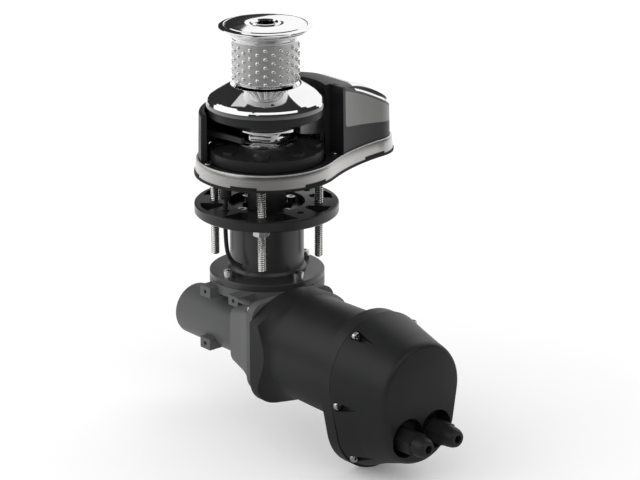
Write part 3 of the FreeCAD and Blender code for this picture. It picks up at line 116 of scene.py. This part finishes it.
def rounded(profile, radius, steps=5):
    """The closed profile with each corner rounded by radius, or less where its sides are short."""
    points = [Vector(p) for p in profile]
    result = []
    for index, corner in enumerate(points):
        before = points[index - 1] - corner
        after = points[(index + 1) % len(points)] - corner
        turn = math.pi - before.angle(after)
        if turn < math.radians(6):
            result.append(tuple(corner))
            continue
        reach = min(radius * math.tan(turn / 2), 0.45 * before.length, 0.45 * after.length)
        start = corner + before.normalized() * reach
        end = corner + after.normalized() * reach
        for step in range(steps + 1):
            t = step / steps
            point = start * (1 - t) ** 2 + corner * 2 * t * (1 - t) + end * t ** 2
            result.append(tuple(point))
    return result


def lathe(bm, profile, segments=240):
    """Closed ring of revolution round Z. profile is a closed loop of (radius, height)."""
    rings = []
    for radius, height in profile:
        ring = []
        for index in range(segments):
            angle = 2 * math.pi * index / segments
            ring.append(bm.verts.new(mm(radius * math.cos(angle), radius * math.sin(angle), height)))
        rings.append(ring)
    faces = []
    for low, high in zip(rings, rings[1:] + rings[:1]):
        for index in range(segments):
            after = (index + 1) % segments
            faces.append(bm.faces.new((low[index], low[after], high[after], high[index])))
    return faces


# ---------------------------------------------------------------- materials

class Graph:
    """One material's nodes, with short calls for what the looks below have in common."""

    def __init__(self, name):
        self.material = bpy.data.materials.new(name)
        self.material.use_nodes = True
        self.tree = self.material.node_tree
        self.shader = self.tree.nodes["Principled BSDF"]
        self.place = self.add("TexCoord").outputs["Object"]

    def add(self, kind, **settings):
        node = self.tree.nodes.new("ShaderNode" + kind)
        for key, value in settings.items():
            setattr(node, key, value)
        return node

    def link(self, source, target):
        self.tree.links.new(source, target)

    def constants(self, **values):
        for key, value in values.items():
            self.shader.inputs[key.replace("_", " ")].default_value = value

    def stretched(self, scale):
        """The object's coordinates, scaled by axis."""
        mapping = self.add("Mapping")
        mapping.inputs["Scale"].default_value = scale
        self.link(self.place, mapping.inputs["Vector"])
        return mapping.outputs["Vector"]

    def noise(self, scale, detail=3.0, vector=None):
        node = self.add("TexNoise")
        node.inputs["Scale"].default_value = scale
        node.inputs["Detail"].default_value = detail
        self.link(vector or self.place, node.inputs["Vector"])
        return node.outputs["Fac"]

    def spread(self, value, low, high, start=0.3, end=0.7):
        """value between start and end, as a number between low and high."""
        node = self.add("MapRange")
        for key, number in (("From Min", start), ("From Max", end), ("To Min", low), ("To Max", high)):
            node.inputs[key].default_value = number
        self.link(value, node.inputs["Value"])
        return node.outputs["Result"]

    def mix(self, share, first, second):
        """Colour between first and second, which are colours or sockets."""
        node = self.add("Mix", data_type="RGBA")
        self.link(share, node.inputs["Factor"])
        for socket, colour in ((node.inputs[6], first), (node.inputs[7], second)):
            if isinstance(colour, tuple):
                socket.default_value = (*colour, 1.0)
            else:
                self.link(colour, socket)
        return node.outputs[2]

    def maths(self, operation, first, second):
        node = self.add("Math", operation=operation)
        for socket, value in zip(node.inputs, (first, second)):
            if isinstance(value, (int, float)):
                socket.default_value = value
            else:
                self.link(value, socket)
        return node.outputs["Value"]

    def edges(self, radius, low=0.02, high=0.25):
        """Mask of the outer edges, where polish and wear show."""
        bevel = self.add("Bevel", samples=4)
        bevel.inputs["Radius"].default_value = radius
        flat = self.add("NewGeometry").outputs["Normal"]
        compare = self.add("VectorMath", operation="DOT_PRODUCT")
        self.link(bevel.outputs["Normal"], compare.inputs[0])
        self.link(flat, compare.inputs[1])
        return self.spread(self.maths("SUBTRACT", 1.0, compare.outputs["Value"]), 0.0, 1.0, low, high)

    def bump(self, heights):
        """heights are (value, strength, depth in metres) from coarse to fine."""
        normal = None
        for value, strength, depth in heights:
            node = self.add("Bump")
            node.inputs["Strength"].default_value = strength
            node.inputs["Distance"].default_value = depth
            self.link(value, node.inputs["Height"])
            if normal is not None:
                self.link(normal, node.inputs["Normal"])
            normal = node.outputs["Normal"]
        self.link(normal, self.shader.inputs["Normal"])

    def finish(self, colour, roughness):
        for value, socket in ((colour, "Base Color"), (roughness, "Roughness")):
            if isinstance(value, tuple):
                self.shader.inputs[socket].default_value = (*value, 1.0)
            else:
                self.link(value, self.shader.inputs[socket])
        return self.material


def polished(name, colour, low=0.03, high=0.085):
    """Mirror-polished steel: faint haze in patches and hairline scratches."""
    g = Graph(name)
    g.constants(Metallic=1.0, Specular_IOR_Level=0.5)
    haze = g.noise(55.0, 4.0)
    hair = g.noise(1.0, 6.0, g.stretched((260.0, 500.0, 700.0)))
    darker = tuple(channel * 0.95 for channel in colour)
    g.bump([(g.noise(30.0, 2.0), 0.012, 0.0004), (hair, 0.006, 0.0001)])
    return g.finish(g.mix(g.spread(haze, 0.0, 1.0), darker, colour), g.spread(haze, low, high))


def brushed(name, colour, stretch, low, high, relief=0.05, contrast=0.2):
    """Satin steel with fine brush lines. stretch is the lines' scale along X, Y and Z."""
    g = Graph(name)
    g.constants(Metallic=1.0, Specular_IOR_Level=0.5)
    lines = g.noise(1.0, 5.0, g.stretched(stretch))
    patches = g.noise(30.0, 3.0)
    darker = tuple(channel * (1.0 - contrast) for channel in colour)
    tone = g.mix(g.spread(lines, 0.0, 1.0, 0.35, 0.65), darker, colour)
    rough = g.maths("ADD", g.spread(lines, low, high), g.spread(patches, -0.03, 0.03))
    g.bump([(patches, 0.03, 0.0006), (lines, relief, 0.0001)])
    return g.finish(tone, rough)


def painted_slope_highlight(name, colour, stretch, low, high):
    """Satin steel with a painted highlight: its sloping edges, between level and upright, are painted
    near white and made rougher.
    """
    g = Graph(name)
    g.constants(Metallic=1.0, Specular_IOR_Level=0.5)
    lines = g.noise(1.0, 5.0, g.stretched(stretch))
    darker = tuple(channel * 0.88 for channel in colour)
    # Painted highlight: faces sloping between level and upright, found by their direction, take a
    # near-white tone.
    facing = g.add("SeparateXYZ")
    g.link(g.add("NewGeometry").outputs["Normal"], facing.inputs["Vector"])
    slope = g.maths("ABSOLUTE", facing.outputs["Z"], 0.0)
    leaning = g.spread(slope, 0.0, 1.0, 0.25, 0.45)
    not_level = g.spread(slope, 1.0, 0.0, 0.9, 0.97)
    edge = g.maths("MULTIPLY", leaning, not_level)
    tone = g.mix(edge, g.mix(g.spread(lines, 0.0, 1.0, 0.35, 0.65), darker, colour), (0.97, 0.97, 0.96))
    rough = g.maths("ADD", g.spread(lines, low, high), g.maths("MULTIPLY", edge, 0.3))
    g.bump([(g.noise(30.0, 3.0), 0.02, 0.0006), (lines, 0.04, 0.0001)])
    return g.finish(tone, rough)


def coated(name, colour, rough, grain=1100.0, relief=0.22, wear=0.25, sheen=0.4):
    """Paint, plastic or anodising: pebbled skin, uneven sheen and slightly rubbed edges."""
    g = Graph(name)
    g.constants(Metallic=0.0, Specular_IOR_Level=sheen)
    clouds = g.noise(26.0, 4.0)
    pebbles = g.noise(grain, 2.0)
    lighter = tuple(channel * 1.22 for channel in colour)
    rubbed = tuple(min(1.0, channel * 1.5 + 0.012) for channel in colour)
    body = g.mix(g.spread(clouds, 0.0, 1.0), colour, lighter)
    edge = g.maths("MULTIPLY", g.edges(0.0007), wear)
    worn = g.maths("MULTIPLY", edge, g.spread(g.noise(140.0, 4.0), 0.3, 1.0))
    tone = g.mix(worn, body, rubbed)
    evenness = g.spread(clouds, rough - 0.035, rough + 0.035)
    shine = g.maths("SUBTRACT", evenness, g.maths("MULTIPLY", edge, 0.25))
    g.bump([(g.noise(90.0, 2.0), 0.05, 0.0006), (pebbles, relief, 0.00012)])
    return g.finish(tone, shine)


def cast_metal(name, colour, rough, metal, grain):
    """Dull metal with a cast or sintered surface."""
    g = Graph(name)
    g.constants(Metallic=metal, Specular_IOR_Level=0.5)
    clouds = g.noise(40.0, 5.0)
    darker = tuple(channel * 0.72 for channel in colour)
    g.bump([(g.noise(grain, 3.0), 0.25, 0.0002)])
    tone = g.mix(g.spread(clouds, 0.0, 1.0), darker, colour)
    return g.finish(tone, g.spread(clouds, rough - 0.06, rough + 0.06))


LOOKS = {
    "chrome": polished("chrome", (0.9, 0.9, 0.905)),
    "rim_steel": polished("rim_steel", (0.24, 0.24, 0.24), 0.1, 0.16),
    "bead_chrome": polished("bead_chrome", (0.92, 0.92, 0.92), 0.04, 0.09),
    "steel": brushed("steel", (0.74, 0.73, 0.71), (700.0, 700.0, 160.0), 0.14, 0.3),
    "thread_steel": brushed(
        "thread_steel", (0.8, 0.79, 0.77), (300.0, 300.0, 300.0), 0.2, 0.3, 0.02, 0.08,
    ),
    "satin_steel": brushed(
        "satin_steel", (0.6, 0.59, 0.575), (14.0, 14.0, 700.0), 0.24, 0.36, 0.05, 0.14,
    ),
    # The base casting: satin steel with a painted highlight on its sloping faces.
    "base_steel": painted_slope_highlight("base_steel", (0.6, 0.59, 0.575), (14.0, 14.0, 700.0), 0.24, 0.34),
    "stripper_steel": brushed(
        "stripper_steel", (0.85, 0.84, 0.82), (20.0, 20.0, 700.0), 0.42, 0.55, 0.04, 0.1,
    ),
    "barrel_steel": brushed(
        "barrel_steel", (0.66, 0.66, 0.65), (700.0, 700.0, 700.0), 0.3, 0.48, 0.16,
    ),
    "panel_steel": brushed(
        "panel_steel", (0.24, 0.24, 0.235), (22.0, 22.0, 700.0), 0.3, 0.4, 0.015, 0.05,
    ),
    "black_aluminium": coated(
        "black_aluminium", (0.0125, 0.0125, 0.0128), 0.3, 1500.0, 0.1, 0.5, 0.5,
    ),
    "housing_coating": coated(
        "housing_coating", (0.024, 0.0242, 0.0246), 0.34, 900.0, 0.2, 0.3, 0.75,
    ),
    "black_plastic": coated(
        "black_plastic", (0.0135, 0.0138, 0.0142), 0.42, 1300.0, 0.2, 0.2, 0.32,
    ),
    "grey_coating": coated("grey_coating", (0.082, 0.083, 0.084), 0.5, 900.0, 0.3, 0.3, 0.4),
    "cast_aluminium": coated(
        "cast_aluminium", (0.062, 0.0625, 0.063), 0.48, 800.0, 0.34, 0.35, 0.4,
    ),
    "black_rubber": coated("black_rubber", (0.009, 0.009, 0.0092), 0.6, 1600.0, 0.25, 0.1, 0.3),
    "cable_rubber": coated("cable_rubber", (0.0095, 0.0095, 0.01), 0.42, 1800.0, 0.12, 0.0, 0.4),
    "dark_paint": coated("dark_paint", (0.02, 0.021, 0.023), 0.35, 700.0, 0.2, 0.4, 0.45),
    "bronze": cast_metal("bronze", (0.52, 0.29, 0.11), 0.32, 1.0, 900.0),
    "brass": cast_metal("brass", (0.72, 0.5, 0.19), 0.26, 1.0, 900.0),
    "ferrite": cast_metal("ferrite", (0.035, 0.034, 0.036), 0.55, 0.0, 1400.0),
    "carbon": cast_metal("carbon", (0.022, 0.022, 0.023), 0.5, 0.0, 1800.0),
    "lamination": brushed("lamination", (0.34, 0.32, 0.3), (40.0, 700.0, 40.0), 0.3, 0.5, 0.2),
}


# ---------------------------------------------------------------- CAD nodes

SHARP_ANGLE = 30.0
WELD_GAP = 0.000005       # metres
NODE_SLOTS = {part["node"]: part["material_slot"] for part in frame["record"]["subparts"]}


def dress(name, look):
    """Gives a CAD node its material and a smooth shading that keeps its hard edges."""
    obj = NODES[name]
    obj.data.materials.clear()
    obj.data.materials.append(LOOKS[look])
    obj.data.polygons.foreach_set("material_index", [0] * len(obj.data.polygons))
    obj.data.polygons.foreach_set("use_smooth", [True] * len(obj.data.polygons))
    weld = obj.modifiers.new("weld", "WELD")
    weld.merge_threshold = WELD_GAP
    split = obj.modifiers.new("hard_edges", "EDGE_SPLIT")
    split.split_angle = math.radians(SHARP_ANGLE)


SPECIAL_LOOKS = {       # nodes that look unlike the rest of their material slot
    "base_casting": "base_steel",
    "chain_stripper": "stripper_steel",
    "control_arm": "black_aluminium",
    "cover_side_panel": "panel_steel",
    "shaft_housing": "housing_coating",
}

for name in sorted(NODES):
    dress(name, SPECIAL_LOOKS.get(name, NODE_SLOTS[name]))


# ---------------------------------------------------------------- sensor cable

curve = bpy.data.curves.new("sensor_lead", "CURVE")
curve.dimensions = "3D"
curve.bevel_depth = CABLE_D / 2
curve.bevel_resolution = 6
curve.resolution_u = 24
curve.use_fill_caps = True
spline = curve.splines.new("NURBS")
spline.points.add(len(CABLE_ROUTE) - 1)
for point, place in zip(spline.points, CABLE_ROUTE):
    point.co = (*place, 1.0)
spline.order_u = 3
spline.use_endpoint_u = True
spline.use_smooth = True
curve.materials.append(LOOKS["cable_rubber"])
lead = bpy.data.objects.new("sensor_lead", curve)
bpy.context.scene.collection.objects.link(lead)
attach(lead, "root")
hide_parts("sensor_cable")


# ---------------------------------------------------------------- deck studs

def threaded_rod(bm, x, y, low, high, segments=32, rings_per_turn=8):
    """Rod along Z with a real helical thread and a chamfered end at each side."""
    count = round((high - low) / THREAD_PITCH * rings_per_turn)
    rings = []
    for level in range(count + 1):
        height = low + (high - low) * level / count
        room = min(height - low, high - height)
        ring = []
        for index in range(segments):
            turn = index / segments
            phase = (height / THREAD_PITCH - turn) % 1.0
            crest = 1.0 - abs(2.0 * phase - 1.0)
            radius = THREAD_ROOT_R + (STUD_R - THREAD_ROOT_R) * min(1.0, max(0.0, crest * 1.3 - 0.15))
            radius = min(radius, THREAD_END_R + room)
            angle = 2 * math.pi * turn
            place = (x + radius * math.cos(angle), y + radius * math.sin(angle), height)
            ring.append(bm.verts.new(mm(*place)))
        rings.append(ring)
    for lower, upper in zip(rings, rings[1:]):
        for index in range(segments):
            after = (index + 1) % segments
            bm.faces.new((lower[index], lower[after], upper[after], upper[index]))
    bm.faces.new(rings[0][::-1])
    bm.faces.new(rings[-1])


rods = bmesh.new()
for degrees in STUD_ANGLES:
    bearing = math.radians(degrees)
    middle = (STUD_RING * math.cos(bearing), STUD_RING * math.sin(bearing))
    threaded_rod(rods, *middle, STUD_BOTTOM, STUD_TOP)
studs = add_object("threaded_studs", smooth_mesh("threaded_studs", rods, 24.0), "root",
                   [LOOKS["thread_steel"]])
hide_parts("deck_studs")


# ---------------------------------------------------------------- drum, cap and dome

BARREL_R = 36.8
BARREL_LOW = 109.3
BARREL_HIGH = 154.4
BARREL_SIDE_R = 36.0    # the barrel's faces lie further out than this, and the bore's don't
BARREL_MATERIAL = 0
POLISH_MATERIAL = 1
BUMP_R = 2.7
BUMP_H = 1.9
BUMP_ROOT = 0.15        # how far its foot is sunk in the barrel
BUMP_COLUMNS = 26
BUMP_TURN = 230.3       # a column with five bumps stands here, in degrees
BUMP_ROWS = ((149.0, 139.3, 129.6, 119.9, 110.4), (144.15, 134.45, 124.75, 115.05))


def bump(bm, degrees, height, rings=5, segments=18):
    """Rounded stud on the drum's barrel."""
    angle = math.radians(degrees)
    out = Vector((math.cos(angle), math.sin(angle), 0))
    side = Vector((-math.sin(angle), math.cos(angle), 0))
    centre = out * (BARREL_R - BUMP_ROOT) + Vector((0, 0, height))
    loops = []
    for level in range(rings):
        share = level / rings
        reach = BUMP_R * math.cos(share * math.pi / 2)
        rise = (BUMP_H + BUMP_ROOT) * math.sin(share * math.pi / 2)
        loop = []
        for index in range(segments):
            turn = 2 * math.pi * index / segments
            point = centre + out * rise + side * reach * math.cos(turn)
            point.z += reach * math.sin(turn)
            loop.append(bm.verts.new(mm(*point)))
        loops.append(loop)
    tip = bm.verts.new(mm(*(centre + out * (BUMP_H + BUMP_ROOT))))
    faces = [bm.faces.new(loops[0][::-1])]
    for low, high in zip(loops, loops[1:]):
        for index in range(segments):
            after = (index + 1) % segments
            faces.append(bm.faces.new((low[index], low[after], high[after], high[index])))
    for index in range(segments):
        faces.append(bm.faces.new((loops[-1][index], loops[-1][(index + 1) % segments], tip)))
    for face in faces:
        face.material_index = POLISH_MATERIAL


drum_profile = [
    (13.0, 84.2), (23.8, 84.2), (23.8, 102.9), (26.0, 103.7), (30.6, 103.75), (33.0, 104.3),
    (34.9, 105.4), (36.1, 106.9), (36.65, 108.3), (BARREL_R, BARREL_LOW),
    (BARREL_R, BARREL_HIGH), (37.9, 154.9), (38.1, 156.2), (37.4, 156.8), (37.6, 157.8),
    (39.4, 158.6), (40.2, 160.0), (40.0, 160.8), (42.0, 162.2), (45.4, 163.9), (48.8, 165.3),
    (51.6, 166.5), (30.0, 166.5), (30.0, 150.0), (13.0, 150.0),
]
spool = bmesh.new()
for face in lathe(spool, rounded(drum_profile, 0.7, 3)):
    heights = [vert.co.z * 1000 for vert in face.verts]
    level = min(heights) > BARREL_LOW - 0.1 and max(heights) < BARREL_HIGH + 0.1
    outside = face.verts[0].co.xy.length * 1000 > BARREL_SIDE_R
    face.material_index = BARREL_MATERIAL if level and outside else POLISH_MATERIAL
for column in range(BUMP_COLUMNS):
    for row in BUMP_ROWS[column % 2]:
        bump(spool, BUMP_TURN + 360.0 / BUMP_COLUMNS * column, row)
barrel = add_object("studded_drum", smooth_mesh("studded_drum", spool), "drum",
                    [LOOKS["barrel_steel"], LOOKS["bead_chrome"]])
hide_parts("drum")

cap_profile = [
    (17.8, 166.7), (51.6, 166.7), (52.7, 167.8), (52.8, 168.9), (52.3, 169.7), (51.0, 170.3),
    (47.0, 171.2), (46.4, 170.6), (45.2, 170.7), (44.6, 171.7), (40.0, 172.1), (32.0, 172.45),
    (24.0, 172.6), (17.8, 172.65),
]
disc = bmesh.new()
lathe(disc, rounded(cap_profile, 0.35, 3))
cap = add_object("polished_cap", smooth_mesh("polished_cap", disc, 50.0), "drum",
                 [LOOKS["chrome"]])
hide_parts("drum_cap")

dome_profile = [
    (60.2, 78.5), (67.2, 78.5), (67.2, 81.4), (67.0, 83.3), (66.3, 85.2), (65.1, 87.3),
    (63.5, 89.0), (61.3, 90.7), (55.0, 94.7), (40.0, 103.6), (39.3, 103.5), (38.4, 102.6),
    (25.6, 102.6), (25.6, 99.8), (36.0, 98.8), (58.0, 86.2),
]
RIM_TOP = 83.8          # below this, the dome's outer edge is darker
RIM_INNER_R = 66.0
bell = bmesh.new()
for face in lathe(bell, rounded(dome_profile, 0.5, 4), 320):
    middle = face.calc_center_median() * 1000
    face.material_index = 1 if middle.z < RIM_TOP and middle.xy.length > RIM_INNER_R else 0
dome = add_object("polished_dome", smooth_mesh("polished_dome", bell, 50.0), "gypsy",
                  [LOOKS["chrome"], LOOKS["rim_steel"]])
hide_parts("gypsy_dome")


# ---------------------------------------------------------------- chrome crest of the hawse cover

COVER_BIG_R = 76.5
COVER_TAIL_R = 35.2
COVER_WAIST_R = 275.0
COVER_TAIL_X = 139.0
COVER_LEAN = 1.6
LEAN_FROM = 17.5
LEAN_TO = 104.0
CREST_X = 75.15
CHROME_X = 97.0          # the moulding passes over the crest up to here
CREST_POINTS = (
    (60.0, 94.6), (70.0, 95.4), (85.0, 94.4), (100.0, 91.8), (115.0, 87.6), (130.0, 82.0),
    (143.0, 75.3), (155.0, 68.2), (165.0, 61.6), (174.0, 55.2),
)
SEAM_POINTS = (
    (60.0, 96.0), (70.0, 93.75), (91.0, 87.15), (112.5, 79.05), (132.0, 70.35), (151.0, 60.95),
    (174.0, 48.4),
)
CREST_STATIONS = 90
CREST_ACROSS = 36
SHADOW_GAP_STRIPS = 2               # strips beside the seam painted black, a painted shadow of the seam's gap
SHOULDER = 5.0               # least width of the crest's rounded shoulder
SHOULDER_GROWTH = 1.6        # how much wider it is for each millimetre of the crest's height
SHOULDER_POWERS = (2.2, 0.8)
SHELL = 0.4                  # least thickness


def along(points, x):
    """Smooth height of a line of (x, height) points at x, by cubic steps between them."""
    x = min(max(x, points[0][0]), points[-1][0])
    index = max(i for i, point in enumerate(points[:-1]) if point[0] <= x)
    x0, y0 = points[index]
    x1, y1 = points[index + 1]
    slopes = []
    for place in (index, index + 1):
        low = points[max(place - 1, 0)]
        high = points[min(place + 1, len(points) - 1)]
        slopes.append((high[1] - low[1]) / (high[0] - low[0]))
    span = x1 - x0
    t = (x - x0) / span
    return (y0 * (2 * t ** 3 - 3 * t ** 2 + 1) + slopes[0] * span * (t ** 3 - 2 * t ** 2 + t)
            + y1 * (3 * t ** 2 - 2 * t ** 3) + slopes[1] * span * (t ** 3 - t ** 2))


def half_width(x, inset):
    """Half the cover's width at x, inset from its outline."""
    big = COVER_BIG_R - inset
    tail = COVER_TAIL_R - inset
    waist = COVER_WAIST_R + inset
    a = big + waist
    b = tail + waist
    cx = (a * a - b * b + COVER_TAIL_X ** 2) / (2 * COVER_TAIL_X)
    cy = math.sqrt(a * a - cx * cx)
    if x < COVER_TAIL_X + (cx - COVER_TAIL_X) * tail / b:
        return cy - math.sqrt(waist * waist - (x - cx) ** 2)
    return math.sqrt(max(tail * tail - (x - COVER_TAIL_X) ** 2, 0.0))


def crest_mesh():
    """Domed shell between the seam line on the cover's wall and its crest, closed underneath."""
    bm = bmesh.new()
    far = COVER_TAIL_X + COVER_TAIL_R - COVER_LEAN - 0.35
    tops = []
    undersides = []
    for station in range(CREST_STATIONS + 1):
        share = station / CREST_STATIONS
        x = CREST_X + (far - CREST_X) * math.sin(share * math.pi / 2)
        seam = along(SEAM_POINTS, x)
        crest = max(along(CREST_POINTS, x), seam + SHELL)
        lean = COVER_LEAN * (seam - LEAN_FROM) / (LEAN_TO - LEAN_FROM) + 0.05
        half = half_width(x, lean)
        shoulder = min(half, SHOULDER + SHOULDER_GROWTH * (crest - seam))
        top = []
        under = []
        for place in range(CREST_ACROSS + 1):
            v = -1.0 + 2.0 * place / CREST_ACROSS
            y = half * math.sin(v * math.pi / 2)
            inward = min(1.0, (half - abs(y)) / max(shoulder, 0.01))
            rise = (1.0 - (1.0 - inward) ** SHOULDER_POWERS[0]) ** SHOULDER_POWERS[1]
            z = seam + (crest - seam) * rise
            top.append(bm.verts.new(mm(x, y, z)))
            under.append(bm.verts.new(mm(x, y, min(z - SHELL, seam - 0.05))))
        tops.append(top)
        undersides.append(under)
    for rows, flip in ((tops, False), (undersides, True)):
        for first, second in zip(rows, rows[1:]):
            for place in range(CREST_ACROSS):
                corners = (first[place], second[place], second[place + 1], first[place + 1])
                face = bm.faces.new(corners[::-1] if flip else corners)
                # Painted shadow: the strips beside the seam take the black look as the shadow in the
                # seam's gap. Faces short of CHROME_X are the black moulding.
                in_shadow_gap = place < SHADOW_GAP_STRIPS or place >= CREST_ACROSS - SHADOW_GAP_STRIPS
                dark = in_shadow_gap or face.calc_center_median().x < CHROME_X / 1000
                face.material_index = 1 if dark else 0
    for upper, lower in ((tops[0], undersides[0]), (tops[-1], undersides[-1])):
        for place in range(CREST_ACROSS):
            bm.faces.new((upper[place], upper[place + 1], lower[place + 1], lower[place]))
    for side in (0, CREST_ACROSS):
        for station in range(CREST_STATIONS):
            bm.faces.new((tops[station][side], tops[station + 1][side],
                          undersides[station + 1][side], undersides[station][side]))
    return smooth_mesh("polished_crest", bm, 40.0)


crest = add_object("polished_crest", crest_mesh(), "root",
                   [LOOKS["chrome"], LOOKS["black_plastic"]])
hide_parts("cover_top_panel")


# ---------------------------------------------------------------- stage

def stage_place(x, y, z):
    """A place given as right, away and up in the camera's view, in the part's frame."""
    return Matrix.Rotation(VIEW_TURN, 3, "Z") @ Vector((x, y, z))


def soft_box(name, place, target, size, power):
    """Rectangular studio light at place that shines on target."""
    light = bpy.data.lights.new(name, "AREA")
    light.shape = "RECTANGLE"
    light.size, light.size_y = size
    light.energy = power
    obj = bpy.data.objects.new(name, light)
    bpy.context.scene.collection.objects.link(obj)
    at = stage_place(*place)
    obj.location = at
    obj.rotation_mode = "QUATERNION"
    obj.rotation_quaternion = (stage_place(*target) - at).to_track_quat("-Z", "Y")


camera = bpy.data.cameras.new("camera")
camera.lens = LENS
camera.sensor_width = 36.0
camera.clip_start = 0.05
camera.clip_end = 200.0
camera_object = bpy.data.objects.new("camera", camera)
bpy.context.scene.collection.objects.link(camera_object)
camera_object.location = CAMERA_AT
camera_object.rotation_mode = "QUATERNION"
camera_object.rotation_quaternion = Vector(CAMERA_ALONG).to_track_quat("-Z", "Y")
bpy.context.scene.camera = camera_object

MIRRORED_NEAR = 0.16         # the floor's tone in polished surfaces, in front of the object
MIRRORED_FAR = 1.1          # and to its sides and behind it
FLOOR_GLOW = 0.14            # makes it as white as the background
WHITE = (1.0, 1.0, 1.0, 1.0)
floor_graph = Graph("pale_floor")
floor_graph.constants(Specular_IOR_Level=0.1, Emission_Color=WHITE, Emission_Strength=FLOOR_GLOW)
floor_tone = floor_graph.spread(floor_graph.noise(3.0), 0.0, 1.0)
floor_plain = floor_graph.mix(floor_tone, (0.93, 0.93, 0.93), (0.95, 0.95, 0.95))
turned = floor_graph.add("Mapping")
turned.inputs["Rotation"].default_value = (0.0, 0.0, -VIEW_TURN)
floor_graph.link(floor_graph.place, turned.inputs["Vector"])
bearing = floor_graph.add("VectorMath", operation="NORMALIZE")
floor_graph.link(turned.outputs["Vector"], bearing.inputs[0])
away = floor_graph.add("SeparateXYZ")
floor_graph.link(bearing.outputs["Vector"], away.inputs["Vector"])
mirrored_tone = floor_graph.spread(away.outputs["Y"], MIRRORED_NEAR, MIRRORED_FAR, -1.0, 1.0)
mirrored = floor_graph.add("LightPath").outputs["Is Glossy Ray"]
floor_look = floor_graph.finish(floor_graph.mix(mirrored, floor_plain, mirrored_tone),
                                floor_graph.spread(floor_graph.noise(3.0), 0.75, 0.85))
half = FLOOR_SIZE / 2
floor_mesh = bpy.data.meshes.new("floor")
corners = [(-half, -half, 0), (half, -half, 0), (half, half, 0), (-half, half, 0)]
floor_mesh.from_pydata(corners, [], [(0, 1, 2, 3)])
floor_mesh.materials.append(floor_look)
floor = bpy.data.objects.new("floor", floor_mesh)
floor.location.z = cad_box[0].z - FLOOR_GAP
bpy.context.scene.collection.objects.link(floor)

# Lights: place as right, away and up, aim, size across and high, and power
AIM = (0.0, 0.0, 0.08)
soft_box("back_right_wall", (1.3, 2.25, 1.5), AIM, (3.6, 3.2), 37.0)
soft_box("back_left_strip", (-1.08, 0.97, 2.62), AIM, (0.55, 0.8), 0.9)
soft_box("front_left_box", (-2.12, -0.45, 1.33), AIM, (4.3, 2.2), 34.0)
soft_box("front_right_box", (0.89, -2.04, 2.09), AIM, (4.6, 1.3), 20.0)

world = bpy.data.worlds.new("studio")
world.use_nodes = True
bpy.context.scene.world = world
tree = world.node_tree
background = tree.nodes["Background"]
background.inputs["Color"].default_value = WHITE
path = tree.nodes.new("ShaderNodeLightPath")


def world_mix(share, first, second):
    node = tree.nodes.new("ShaderNodeMix")
    node.data_type = "FLOAT"
    tree.links.new(share, node.inputs["Factor"])
    for socket, value in ((node.inputs["A"], first), (node.inputs["B"], second)):
        if isinstance(value, float):
            socket.default_value = value
        else:
            tree.links.new(value, socket)
    return node.outputs["Result"]


SOFT_FILL = 0.55       # what matt surfaces get from all round
DARK_ROOM = 0.03       # what polished surfaces mirror between the lights
seen = world_mix(path.outputs["Is Glossy Ray"], SOFT_FILL, DARK_ROOM)
tree.links.new(world_mix(path.outputs["Is Camera Ray"], seen, 1.0), background.inputs["Strength"])

bpy.context.scene.view_settings.view_transform = "Standard"
